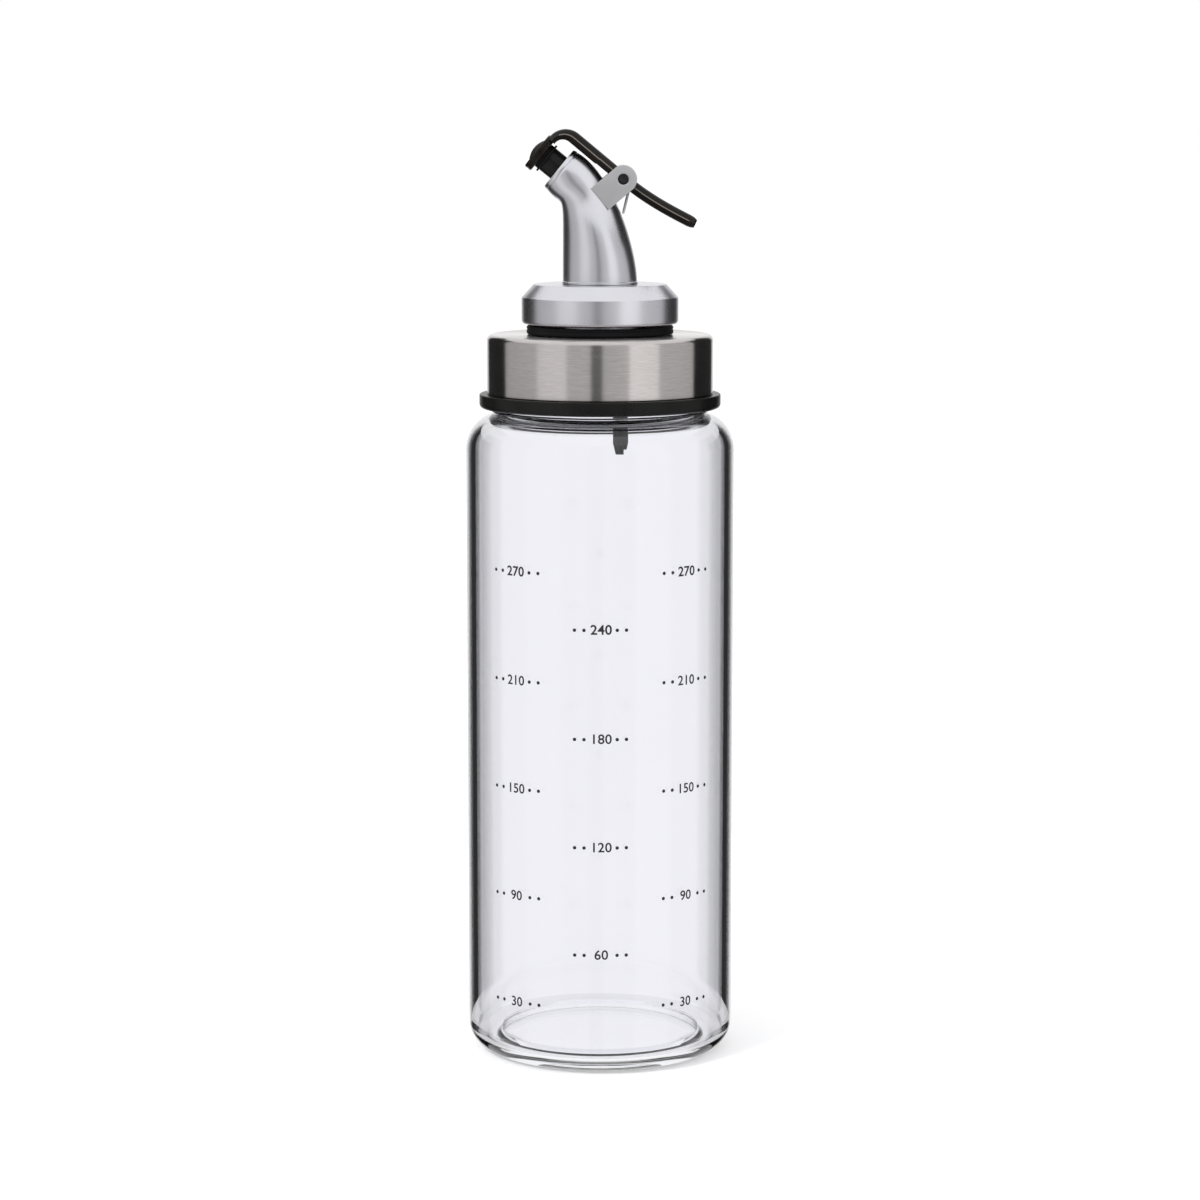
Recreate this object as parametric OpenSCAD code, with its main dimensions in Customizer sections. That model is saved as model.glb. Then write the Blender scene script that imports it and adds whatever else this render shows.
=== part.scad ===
// Glass oil bottle with a screwed steel lid and a lever pouring spout.
// The origin is the centre of the base, on the surface that the bottle stands on.
// +Z is up, the spout pours towards -X and the thumb end of the lever points to +X.

/* [Glass bottle] */
// Outer diameter of the straight body
body_d = 60; // [50:1:76]
// Thickness of the glass wall
glass_wall = 2; // [1.6:0.1:2.6]
// Height of the top of the shoulder
shoulder_z = 145.3; // [115:0.1:185]
// Outer radius of the shoulder
shoulder_round = 8.5; // [6.5:0.1:9.5]
// Outer radius of the heel
heel_round = 6; // [4:0.5:8]
// Thickness of the glass floor
floor_t = 3.2; // [2.4:0.1:5]
// Height of the dome under the base
punt_h = 1.2; // [0.6:0.1:1.8]
// Outer diameter of the neck at the root of its thread
neck_d = 44.4; // [40:0.2:46]
// Height of the neck above the shoulder
neck_h = 13.9; // [12.4:0.1:16.6]
// Diameter of the bead round the foot of the neck
bead_d = 47.2; // [46:0.1:47.4]
// Height of the bead above the shoulder
bead_h = 1; // [0.6:0.1:1.2]

/* [Screw thread] */
// Rise of the thread in one turn
pitch = 3.5; // [3:0.1:4]
// Height of the neck's thread above its root
thread_h = 1.3; // [1:0.05:1.5]
// Turns of thread on the neck and in the lid
thread_turns = 1.75; // [1.25:0.25:2]
// Clearance between the crest of one thread and the root of the other
thread_gap = 0.3; // [0.2:0.05:0.5]

/* [Lid] */
// Thickness of the steel
steel_t = 0.5; // [0.4:0.05:0.8]
// Height of the steel part of the lid
steel_h = 13.2; // [12:0.1:16]
// Outer radius of the steel's top edge
steel_round = 1.3; // [1:0.1:2]
// Thickness of the inner lid's wall
liner_wall = 0.95; // [0.8:0.05:1.6]
// Thickness of the inner lid's top
liner_top_t = 1.5; // [1.2:0.1:2]
// How far the black rim stands out from the steel
rim_out = 1.7; // [1:0.1:3]
// Height of the black rim
rim_h = 3.2; // [2.6:0.1:3.4]
// Thickness of the sealing ring
gasket_t = 1.2; // [0.8:0.1:1.6]
// Bore of the lid, where the stopper plugs in
bore_d = 26.4; // [24:0.2:29]

/* [Stopper] */
// Diameter of the stopper's flange
flange_d = 32.8; // [30:0.2:34]
// Height of the stopper's flange
flange_h = 2.2; // [1.6:0.1:3]
// Length of the plug below the flange
plug_l = 12.2; // [11:0.1:14]
// How far each fin stands out from the plug
fin_h = 0.55; // [0.3:0.05:0.6]
// Outer diameter of the tube inside the plug
core_d = 18; // [16.6:0.1:19]

/* [Spout] */
// Diameter of the collar
collar_d = 35; // [33:0.1:38]
// Height of the collar
collar_h = 8.8; // [8:0.1:11]
// Width and height of the collar's bevel
bevel = [2.7, 3];
// Diameter of the horn at its foot
horn_d = 16.6; // [15:0.1:18]
// Diameter of the horn at its mouth
mouth_d = 10.06; // [9.8:0.02:11]
// Height of the mouth's centre above the collar
mouth_up = 25.6; // [24:0.1:29]
// Distance of the mouth's centre from the bottle's axis
mouth_out = 9.12; // [8.4:0.02:10.6]
// Angle of the nozzle above the horizontal
mouth_tilt = 39.2; // [36:0.2:43]
// Outer diameter of the stem below the horn
stem_d = 12.8; // [12.2:0.1:13.2]
// Diameter of the oil passage in the stem
passage_d = 10.4; // [9.8:0.1:10.6]
// Outer diameter of the nozzle tube
nozzle_d = 6; // [5.4:0.1:6.2]
// Length of the nozzle tube outside the mouth
nozzle_out = 3.25; // [2.8:0.05:4]

/* [Lever and pin] */
// Width of the lever
lever_w = 6.6; // [5.6:0.1:7]
// Thickness of the lever's arm
arm_t = 2.75; // [2.5:0.05:3]
// Thickness of the head and of the bend behind it
head_t = 1.8; // [1.6:0.05:2]
// Diameter of the head
head_d = 8.8; // [8:0.1:9.4]
// Distance from the pin to the foot of the ears
ear_l = 6.8; // [6:0.1:8]
// Thickness of an ear
ear_t = 1.8; // [1:0.1:2]
// Diameter of the pin
pin_d = 2.4; // [2:0.1:2.6]
// Length of the tail beyond the pin, up to its bend and beyond it
tail_l = [10.3, 8.6];

/* [Vent tube] */
// Outer diameter of the vent tube
vent_d = 3.4; // [3:0.1:3.5]
// Distance of the vent tube from the bottle's axis
vent_x = 4.6; // [4.4:0.05:4.6]
// Length of the vent tube below the stopper
vent_l = 12.9; // [8:0.1:40]
// Outer diameter of the riser in the horn
riser_d = 2; // [1.6:0.1:2.2]

/* [Hidden] */
$fn = 96;
e = 0.01;
rest = 0.05;          // clearance between faces that rest on each other and move apart
slip = 0.25;          // clearance of the plug's fins in the lid's bore
seat = 0.02;          // clearance between pieces that are pushed together
run = 0.06;           // clearance of the lever on its pin
side = 0.3;           // clearance of the lever between the ears

// Bottle
body_r = body_d / 2;
neck_r = neck_d / 2;
mouth_z = shoulder_z + neck_h;
bead_r = bead_d / 2;
contact_r = body_r - heel_round;
foot_w = 2;            // width of the ring that the bottle stands on
lip_round = 0.8;

// Lid, from the thread outwards and from the mouth upwards
crest_r = neck_r + thread_h;
liner_r = crest_r + thread_gap;
liner_crest_r = neck_r + thread_gap + 0.15;
shell_in_r = liner_r + liner_wall + rest;
shell_r = shell_in_r + steel_t;
rim_r = shell_r + rim_out;
gasket_z = mouth_z + rest;
liner_in_z = gasket_z + gasket_t + rest;
shell_in_z = liner_in_z + liner_top_t;
lid_z = shell_in_z + steel_t;
rim_top_z = lid_z - steel_h;
rim_z = rim_top_z - rim_h;
boss_l = 6.5;
boss_t = 1.4;
thread_foot = 2.8;     // distance of the thread's start from the foot of the neck

// Stopper
flange_z = lid_z + 2 * rest;
flange_top_z = flange_z + flange_h;
plug_z = flange_z - plug_l;
plug_r = bore_d / 2 - slip - fin_h;
core_r = core_d / 2;
core_foot_t = 1.6;
core_foot_z = plug_z - 4 * rest - core_foot_t;
core_floor_t = 3.5;
socket_r = stem_d / 2 + 2 * seat;
stem_l = 8.8;

// Collar and horn
collar_z = flange_top_z + 2 * rest;
collar_top_z = collar_z + collar_h;
collar_r = collar_d / 2;
stem_z = collar_z - stem_l;
ring_d = 1;
nozzle_wall = 0.8;
nozzle_in = 3.8;
horn_rings = 18;
horn_sides = 28;

// Directions in the spout's plane of symmetry, as [x, z]
function along(angle) = [cos(angle), sin(angle)];
function turn(v) = [-v[1], v[0]];
function unit(v) = v / norm(v);
function angle_of(v) = atan2(v[1], v[0]);
mouth = [-mouth_out, collar_top_z + mouth_up];
pour = along(180 - mouth_tilt);
rise = [pour[1], -pour[0]];

// A point on the cubic curve with end points and handles p
function bend(p, s) = pow(1 - s, 3) * p[0] + 3 * s * pow(1 - s, 2) * p[1]
    + 3 * s * s * (1 - s) * p[2] + pow(s, 3) * p[3];
lower_lip = mouth - rise * mouth_d / 2;
upper_lip = mouth + rise * mouth_d / 2;
front_line = [[-horn_d / 2, collar_top_z], [-horn_d / 2, collar_top_z + 24.8],
              lower_lip - 8.3 * along(124), lower_lip];
back_line = [[horn_d / 2, collar_top_z], [horn_d / 2, collar_top_z + 8.5],
             upper_lip - 8.9 * along(157), upper_lip];
function horn_mid(s) = (bend(front_line, s) + bend(back_line, s)) / 2;
function horn_r(s) = norm(bend(back_line, s) - bend(front_line, s)) / 2;
function horn_across(s) = unit(bend(back_line, s) - bend(front_line, s));
function bore_r(s) = let (foot = passage_d / 2 + 0.15, tip = nozzle_d / 2 - 0.6)
    max(tip, foot + (tip - foot) * s / 0.8);

// Ears, pin and lever
ear_tilt = 40;
ear_r = 3.05;
ear_in = lever_w / 2 + side;
ear_root = horn_mid(0.573) + 2.81 * horn_across(0.573);
pin = ear_root + ear_l * along(ear_tilt);
pin_r = pin_d / 2;
pin_in = 0.3;          // how far the pin's ends lie behind the ears' faces
pin_l = 2 * (ear_in + ear_t - pin_in);
neck_bend = mouth + 1.35 * pour + 4.06 * rise;
bend_r = 4.62;
mid_r = bend_r - arm_t / 2;
to_pin = pin - neck_bend;
arm_tilt = angle_of(to_pin) - asin(mid_r / norm(to_pin));
arm_dir = along(arm_tilt);
bend_back = 0.56;
lap = 0.3;             // how far the arm runs back into the bend
bend_in_r = 2.2;
bend_in = neck_bend - bend_back * arm_dir + (bend_r - arm_t - bend_in_r) * turn(arm_dir);
arm_l = to_pin * arm_dir;
head_gap = nozzle_out + rest;
lip_t = 0.45;
lip_r = nozzle_d / 2 + 0.55;
head_in = head_gap + lip_t + 0.75;
boss_r = 2.6;
tail_tilt = [arm_tilt + 4.2, arm_tilt + 12.3];
tail_t = 2.6;
slot_w = 3.5;
slot_l = 6;

// Spring
wire_d = 0.6;
coil_r = pin_r + run + wire_d / 2 + 0.25;
coil_rise = 0.7;
spring_seat = bend(back_line, 0.47) + (wire_d / 2 + 0.15) * horn_across(0.47);
to_seat = spring_seat - pin;
coil_from = angle_of(to_seat) + acos(coil_r / norm(to_seat));
coil_to = arm_tilt - 90 + 4 * 360;
tail_leg_l = 4.4;

// Vent
vent_r = vent_d / 2;
vent_tip_z = core_foot_z - vent_l;
vent_top_z = core_foot_z + core_floor_t + 0.9;
riser_r = riser_d / 2;
riser_wall = 0.3;

// ---------------------------------------------------------------- shared shapes

// Half section of a round pot with rounded foot and shoulder
module pot_section(r, z0, z1, foot, top) {
    translate([0, z0 + foot]) square([r, z1 - top - z0 - foot]);
    translate([0, z0]) square([r - max(foot, top), z1 - z0]);
    translate([0, z0]) square([r - foot, z1 - top - z0]);
    translate([0, z0 + foot]) square([r - top, z1 - z0 - foot]);
    translate([r - foot, z0 + foot]) circle(foot);
    translate([r - top, z1 - top]) circle(top);
}

// Half section of a flat ring with rounded outer edges
module ring_section(r_in, r_out, z0, z1, foot, top) {
    difference() {
        pot_section(r_out, z0, z1, foot, top);
        translate([-e, z0 - 1]) square([r_in + e, z1 - z0 + 2]);
    }
}

// Closed tube through rings of points, each ring given as a list
module skin(rings) {
    sides = len(rings[0]);
    count = len(rings);
    polyhedron(
        points = [for (ring = rings) each ring],
        faces = concat(
            [[for (j = [sides - 1:-1:0]) j]],
            [for (i = [0:count - 2], j = [0:sides - 1], k = [0, 1])
                let (a = i * sides + j, b = i * sides + (j + 1) % sides)
                k == 0 ? [a, b, b + sides] : [a, b + sides, a + sides]],
            [[for (j = [0:sides - 1]) (count - 1) * sides + j]]));
}

// Closed pipe: two sets of rings joined at both ends
module pipe_skin(outer, inner) {
    sides = len(outer[0]);
    count = len(outer);
    half = sides * count;
    polyhedron(
        points = concat([for (ring = outer) each ring], [for (ring = inner) each ring]),
        faces = concat(
            [for (i = [0:count - 2], j = [0:sides - 1], k = [0:3])
                let (a = i * sides + j, b = i * sides + (j + 1) % sides)
                k == 0 ? [a, b, b + sides] : k == 1 ? [a, b + sides, a + sides]
                : k == 2 ? [half + a, half + b + sides, half + b]
                : [half + a, half + a + sides, half + b + sides]],
            [for (j = [0:sides - 1], i = [0, count - 1], k = [0, 1])
                let (a = i * sides + j, b = i * sides + (j + 1) % sides)
                i == 0 ? (k == 0 ? [a, half + b, b] : [a, half + a, half + b])
                : (k == 0 ? [a, b, half + b] : [a, half + b, half + a])]));
}

// Ring of points round a point in the plane of symmetry; across is the ring's direction there
function hoop(mid, r, across, sides) = [for (j = [0:sides - 1])
    let (a = 360 * j / sides)
    [mid[0] + r * cos(a) * across[0], -r * sin(a), mid[1] + r * cos(a) * across[1]]];

// Rings of a round wire along a 3-D route
function route_dir(p, i) = let (a = p[max(i - 1, 0)], b = p[min(i + 1, len(p) - 1)])
    (b - a) / norm(b - a);
function wire_ring(c, d, up, r, sides) = let (
    u = cross(d, up) / norm(cross(d, up)), v = cross(u, d))
    [for (j = [0:sides - 1]) c + r * (cos(360 * j / sides) * u + sin(360 * j / sides) * v)];

// Helical ridge with a flat crest; it runs out into its root at both ends
module ridge(root_r, top_r, root_w, top_w, z, turns) {
    per_turn = 40;
    count = round(turns * per_turn);
    bury = root_r > top_r ? 0.4 : -0.4;
    rings = [for (i = [0:count])
        let (a = 360 * i / per_turn, mid = z + pitch * i / per_turn,
             full = min(1, min(i, count - i) / 4),
             crest = root_r + bury / 2 + full * (top_r - root_r - bury / 2),
             pts = [[root_r + bury, -root_w / 2], [crest, -top_w / 2],
                    [crest, top_w / 2], [root_r + bury, root_w / 2]])
        [for (p = root_r > top_r ? [pts[3], pts[2], pts[1], pts[0]] : pts)
            [p[0] * cos(a), p[0] * sin(a), mid + p[1]]]];
    skin(rings);
}

// Places its children in the mouth's frame: +Z pours out, the origin is the mouth's centre
module at_mouth() {
    translate([mouth[0], 0, mouth[1]]) rotate([0, -90 + mouth_tilt, 0]) children();
}

// Extrudes a shape drawn in the plane of symmetry, centred on that plane
module across_plane(w) {
    rotate([90, 0, 0]) linear_extrude(w, center = true) children();
}

// Straight bar in the plane of symmetry from a point, at an angle
module bar(from, angle, length, low, high) {
    translate(from) rotate(angle) translate([0, low]) square([length, high - low]);
}

// ---------------------------------------------------------------- glass

module glass_bottle() color("lightcyan", 0.5) {
    thread_z = shoulder_z + thread_foot + pitch / 2;
    union() {
        rotate_extrude() difference() {
            union() {
                pot_section(body_r, 0, shoulder_z, heel_round, shoulder_round);
                translate([0, shoulder_z - 2]) square([neck_r, neck_h + 2 - lip_round]);
                translate([0, mouth_z - 2]) square([neck_r - lip_round, 2]);
                translate([neck_r - lip_round, mouth_z - lip_round]) circle(lip_round);
                translate([0, shoulder_z - 2]) square([bead_r - bead_h / 2, 2 + bead_h]);
                translate([0, shoulder_z - 2]) square([bead_r, 2 + bead_h / 2]);
                translate([bead_r - bead_h / 2, shoulder_z + bead_h / 2]) circle(bead_h / 2);
            }
            difference() {
                pot_section(body_r - glass_wall, floor_t, shoulder_z - glass_wall,
                    heel_round - glass_wall / 2, shoulder_round - glass_wall);
                dome_section(floor_t - e, punt_h, contact_r - 1);
            }
            translate([-e, shoulder_z - 5]) square([neck_r - glass_wall + e, neck_h + 6]);
            dome_section(-e, punt_h, contact_r - foot_w);
        }
        ridge(neck_r, crest_r, 2, 0.9, thread_z, thread_turns);
    }
}

// Section of a shallow dome that stands on z
module dome_section(z, h, r) {
    dome_r = (r * r + h * h) / (2 * h);
    intersection() {
        translate([0, z + h - dome_r]) circle(dome_r, $fn = 2880);
        translate([0, z]) square([r + 1, h + 1]);
    }
}

// ---------------------------------------------------------------- lid

module lid_liner() color("black") {
    thread_z = shoulder_z + thread_foot;
    union() {
        rotate_extrude() difference() {
            union() {
                ring_section(bore_d / 2, liner_r + liner_wall, rim_top_z - 1, shell_in_z, 0.2,
                    steel_round - steel_t);
                ring_section(liner_r - 1, rim_r, rim_z, rim_top_z - rest, 1, 0.3);
            }
            translate([bore_d / 2 + boss_t, rim_z - 1])
                square([liner_r - bore_d / 2 - boss_t, liner_in_z - rim_z + 1]);
            translate([0, rim_z - 1]) square([bore_d / 2 + boss_t + e, liner_in_z - boss_l - rim_z + 1]);
        }
        ridge(liner_r, liner_crest_r, 1.7, 0.7, thread_z, thread_turns);
    }
}

module lid_shell() color("silver")
    rotate_extrude() difference() {
        pot_section(shell_r, rim_top_z, lid_z, 0.15, steel_round);
        translate([-e, 0]) pot_section(shell_in_r + e, rim_top_z - 5, shell_in_z + e, 0.1,
            steel_round - steel_t);
        translate([-e, rim_top_z]) square([bore_d / 2 + 0.15 + e, steel_h + 1]);
    }

module lid_gasket() color("whitesmoke")
    rotate_extrude()
        ring_section(neck_r - glass_wall - 1, liner_r - 0.3, gasket_z, gasket_z + gasket_t,
            0.25, 0.25);

// ---------------------------------------------------------------- stopper

module stopper_sleeve() color("dimgray")
    rotate_extrude() difference() {
        union() {
            ring_section(core_r, flange_d / 2, flange_z, flange_top_z, 0.5, 0.5);
            ring_section(core_r, plug_r, plug_z, flange_z + 1, 0.6, 0.1);
            for (i = [0:3])
                translate([plug_r - 0.3, plug_z + 1.6 + i * (plug_l - 3.6) / 3])
                    circle(fin_h + 0.3);
        }
        translate([-e, plug_z - 1]) square([core_r + 2 * rest + e, plug_l + flange_h + 3]);
    }

module stopper_core() color("gainsboro") {
    difference() {
        rotate_extrude() difference() {
            union() {
                ring_section(0, core_r, core_foot_z + 0.5, collar_z, 0.1, 0.1);
                ring_section(0, core_r + 2.5, core_foot_z, core_foot_z + core_foot_t, 0.5, 0.3);
            }
            translate([-e, core_foot_z + core_floor_t])
                square([socket_r + e, collar_z - core_foot_z]);
        }
        translate([vent_x, 0, core_foot_z - 1]) cylinder(h = core_floor_t + 2, r = vent_r + seat);
        translate([-1.9, 0, core_foot_z - 1]) cylinder(h = core_floor_t + 2, r = 2.9);
        for (side_y = [-1, 1])
            translate([1.4, side_y * 4.1, core_foot_z - 1]) cylinder(h = core_floor_t + 2, r = 1.3);
    }
}

module core_oring() color("black")
    translate([0, 0, stem_z + 3])
        rotate_extrude() translate([stem_d / 2 - ring_d / 2, 0]) circle(ring_d / 2, $fn = 32);

// ---------------------------------------------------------------- spout

module spout_collar() color("lightsteelblue")
    rotate_extrude() difference() {
        union() {
            ring_section(0, collar_r, collar_z, collar_top_z - bevel[1], 0.8, e);
            polygon([[0, collar_top_z - bevel[1] - 1], [collar_r, collar_top_z - bevel[1] - 1],
                [collar_r, collar_top_z - bevel[1]], [collar_r - bevel[0], collar_top_z],
                [0, collar_top_z]]);
        }
        translate([-e, collar_z - 1]) square([socket_r + e, collar_h + 2]);
        translate([core_r + 1.2, collar_z - 1])
            square([collar_r - core_r - 3.4, collar_h - bevel[1]]);
    }

module spout_body() color("lightsteelblue") {
    difference() {
        union() {
            horn();
            stem();
            ears();
        }
        translate([pin[0], 0, pin[1]]) rotate([90, 0, 0])
            cylinder(h = lever_w + 10, r = pin_r + seat, center = true);
    }
}

module horn() {
    steps = [for (i = [0:horn_rings]) i / horn_rings];
    difference() {
        pipe_skin(
            [for (s = steps) hoop(horn_mid(s), horn_r(s), horn_across(s), horn_sides)],
            [for (s = steps) hoop(horn_mid(s), bore_r(s), horn_across(s), horn_sides)]);
        at_mouth() translate([0, 0, -nozzle_in - 0.2]) cylinder(h = 6, r = nozzle_d / 2 + seat);
    }
}

module stem() {
    rotate_extrude() difference() {
        translate([passage_d / 2, stem_z])
            square([(stem_d - passage_d) / 2, collar_top_z + 0.8 - stem_z]);
        translate([stem_d / 2 - ring_d / 2, stem_z + 3]) circle(ring_d / 2 + seat, $fn = 32);
    }
}

module ears() {
    for (side_y = [-1, 1])
        translate([0, side_y * (ear_in + ear_t / 2), 0]) across_plane(ear_t) {
            bar(ear_root, ear_tilt, ear_l, -ear_r, ear_r);
            translate(pin) circle(ear_r);
        }
}

module nozzle_tube() color("black")
    at_mouth() translate([0, 0, -nozzle_in]) difference() {
        cylinder(h = nozzle_in + nozzle_out, r = nozzle_d / 2);
        translate([0, 0, -1]) cylinder(h = 7 + nozzle_out, r = nozzle_d / 2 - nozzle_wall);
    }

// ---------------------------------------------------------------- lever

module lever() color("black") {
    difference() {
        union() {
            across_plane(lever_w) lever_outline();
            at_mouth() translate([0, 0, head_in]) cylinder(h = head_t, r = head_d / 2);
        }
        translate([pin[0], 0, pin[1]]) rotate([90, 0, 0])
            cylinder(h = lever_w + 2, r = pin_r + run, center = true);
        translate([pin[0], 0, pin[1]]) rotate([0, -arm_tilt, 0])
            cube([slot_l, slot_w, 8], center = true);
        at_mouth() cylinder(h = 12, r = 1.5 + seat);
    }
}

module lever_outline() {
    // Bend over the mouth, from the head to the arm
    difference() {
        intersection() {
            translate(neck_bend) circle(bend_r);
            bar(neck_bend - 9 * arm_dir, arm_tilt, 9 - lap / 2, -9, 9);
            bar(mouth + 3.9 * rise - 12 * pour, 180 - mouth_tilt, 30, -12, 0);
        }
        translate(bend_in) circle(bend_in_r);
        bar(neck_bend - bend_back * arm_dir, arm_tilt, bend_back + 1, -9, bend_r - arm_t);
    }
    // Arm, a little thicker before its step
    arm_start = neck_bend - lap * arm_dir;
    bar(arm_start, arm_tilt, arm_l / 2, bend_r - arm_t, bend_r);
    bar(arm_start, arm_tilt, arm_l + lap, bend_r - tail_t, bend_r);
    translate(pin) circle(boss_r);
    // Tail with its upward bend and its blunt end
    half_t = tail_t / 2;
    end_cut = 0.6;
    knee = pin + tail_l[0] * along(tail_tilt[0]);
    tip = knee + tail_l[1] * along(tail_tilt[1]);
    across = turn(along(tail_tilt[0]));
    mitre = turn(along((tail_tilt[0] + tail_tilt[1]) / 2)) / cos((tail_tilt[1] - tail_tilt[0]) / 2);
    end_dir = along(tail_tilt[1]);
    end_across = turn(end_dir);
    polygon([pin + half_t * across, knee + half_t * mitre,
        tip + half_t * end_across - end_cut * end_dir, tip + (half_t - end_cut) * end_across,
        tip - (half_t - end_cut) * end_across, tip - half_t * end_across - end_cut * end_dir,
        knee - half_t * mitre, pin - half_t * across]);
}

module tip_seal() color("dimgray")
    at_mouth() rotate_extrude() {
        translate([0, head_gap]) square([lip_r, lip_t]);
        translate([0, head_gap]) square([nozzle_d / 2, head_in - head_gap - seat]);
        translate([0, head_gap]) square([1.5, head_in + head_t - head_gap + 0.3]);
        intersection() {
            translate([0, head_in + head_t + seat - 3.6]) circle(4.4);
            translate([0, head_in + head_t + seat]) square([2.7, 1]);
        }
    }

module pivot_pin() color("black")
    translate([pin[0], 0, pin[1]]) rotate([90, 0, 0]) difference() {
        cylinder(h = pin_l, r = pin_r, center = true);
        for (end = [-1, 1])
            translate([0, 0, end * (pin_l / 2 + 1.1)]) sphere(1.3, $fn = 48);
    }

module return_spring() color("darkgray") {
    sides = 8;
    count = 76;
    turns = (coil_to - coil_from) / 360;
    half_l = turns * coil_rise / 2;
    coil = [for (i = [0:count])
        let (a = coil_from + (coil_to - coil_from) * i / count)
        [pin[0] + coil_r * cos(a), half_l * (1 - 2 * i / count), pin[1] + coil_r * sin(a)]];
    foot = [spring_seat[0], half_l, spring_seat[1]];
    seat_leg = [for (i = [0:5]) foot + (coil[0] - foot) * i / 6];
    tail_leg = [for (i = [1:4]) coil[count] + i / 4 * tail_leg_l * [arm_dir[0], 0, arm_dir[1]]];
    route = concat(seat_leg, coil, tail_leg);
    skin([for (i = [0:len(route) - 1])
        wire_ring(route[i], route_dir(route, i), [0, 1, 0], wire_d / 2, sides)]);
}

// ---------------------------------------------------------------- vent

module vent_tube() color("dimgray")
    difference() {
        translate([vent_x, 0, 0]) rotate_extrude() difference() {
            union() {
                translate([0, vent_tip_z + 3.3]) square([vent_r, vent_top_z - vent_tip_z - 3.3]);
                polygon([[0, vent_tip_z], [vent_r - 0.6, vent_tip_z], [vent_r, vent_tip_z + 3.3],
                    [0, vent_tip_z + 3.3]]);
            }
            translate([-e, vent_tip_z - 1]) square([riser_r - 0.2 + e, 60]);
            translate([-e, core_foot_z + 1.4]) square([riser_r + seat + e, 60]);
        }
        translate([vent_x + 0.7, -2, vent_tip_z - 1]) cube([2, 4, 2.4]);
    }

module vent_riser() color("silver") {
    sides = 12;
    start = [vent_x, core_foot_z + 1.5];
    leave = [vent_x, vent_top_z + 0.6];
    wall_x = passage_d / 2 - riser_r - 0.5;
    enter = [wall_x, stem_z + 3];
    middle = horn_mid(0.45) + 1.9 * horn_across(0.45);
    finish = mouth + 1.5 * pour;
    turn_in = mouth - 3.6 * pour;
    marks = [start, leave, enter, [wall_x, collar_top_z], middle, turn_in, finish];
    route = [for (k = [0:len(marks) - 2], i = [0:4]) spline(marks, k, i / 5)];
    rings = function (r) [for (i = [0:len(route) - 1])
        let (d = unit(route[min(i + 1, len(route) - 1)] - route[max(i - 1, 0)]))
        hoop(route[i], r, -turn(d), sides)];
    pipe_skin(rings(riser_r), rings(riser_r - riser_wall));
}

// A point between marks k and k + 1 of a smooth curve through all marks
function spline(m, k, s) = let (
    p0 = m[max(k - 1, 0)], p1 = m[k], p2 = m[k + 1], p3 = m[min(k + 2, len(m) - 1)])
    bend([p1, p1 + (p2 - p0) / 6, p2 - (p3 - p1) / 6, p2], s);

glass_bottle();
lid_liner();
lid_shell();
lid_gasket();
stopper_sleeve();
stopper_core();
core_oring();
spout_collar();
spout_body();
nozzle_tube();
vent_tube();
vent_riser();
lever();
tip_seal();
pivot_pin();
return_spring();
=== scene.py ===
"""Glass oil bottle with a screwed steel lid and a lever pouring spout.

Sizes in the classes are millimetres in the part's own frame: the origin is the centre of the
base, +Z is up, the spout pours towards -X and the thumb end of the lever points to +X.
"""
import logging
import math
from collections.abc import Callable, Iterable, Sequence
from dataclasses import dataclass, field
from enum import Enum

import bmesh
import bpy
from mathutils import Matrix, Vector


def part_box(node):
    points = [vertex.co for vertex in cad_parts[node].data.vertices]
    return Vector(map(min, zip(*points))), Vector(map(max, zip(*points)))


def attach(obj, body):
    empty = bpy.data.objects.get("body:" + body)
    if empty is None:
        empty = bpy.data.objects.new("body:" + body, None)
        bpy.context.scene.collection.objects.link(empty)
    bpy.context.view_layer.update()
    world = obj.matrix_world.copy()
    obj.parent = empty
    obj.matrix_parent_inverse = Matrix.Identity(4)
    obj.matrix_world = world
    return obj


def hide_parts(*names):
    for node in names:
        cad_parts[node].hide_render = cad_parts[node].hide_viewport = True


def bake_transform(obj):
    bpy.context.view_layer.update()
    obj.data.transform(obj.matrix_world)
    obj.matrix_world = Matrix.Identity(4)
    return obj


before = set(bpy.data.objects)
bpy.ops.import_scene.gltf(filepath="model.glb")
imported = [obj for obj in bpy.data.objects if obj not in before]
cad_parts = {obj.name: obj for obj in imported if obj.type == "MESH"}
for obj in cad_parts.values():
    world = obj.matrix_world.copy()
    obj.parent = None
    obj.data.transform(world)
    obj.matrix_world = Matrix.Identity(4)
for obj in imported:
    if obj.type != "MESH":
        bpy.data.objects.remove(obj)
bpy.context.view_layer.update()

MM = 0.001
TURN = 2 * math.pi
SOCKET_R = 6.44  # bore of the inner tube and the collar, in which the horn's stem turns
VENT_X = 4.6  # distance of the air tube from the bottle's axis
THREAD_STEP = 0.2  # height between two rings of points on a threaded wall
log = logging.getLogger("oil_bottle")

Point = tuple[float, float]
Span = tuple[float, float]
Ring = list[Vector]


# ------------------------------------------------------------------ geometry in the plane


def along(degrees: float) -> Vector:
    """Unit vector in the plane of symmetry at an angle above +X."""
    return Vector((math.cos(math.radians(degrees)), math.sin(math.radians(degrees))))


def left_of(v: Vector) -> Vector:
    """A plane vector turned by 90 degrees anticlockwise."""
    return Vector((-v.y, v.x))


def angle_of(v: Vector) -> float:
    """Angle of a plane vector above +X, in degrees."""
    return math.degrees(math.atan2(v.y, v.x))


def bend(handles: Sequence[Vector], s: float) -> Vector:
    """Point at share s of the cubic curve through the given end points and handles."""
    a, b, c, d = handles
    return (1 - s) ** 3 * a + 3 * s * (1 - s) ** 2 * b + 3 * s * s * (1 - s) * c + s**3 * d


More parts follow.
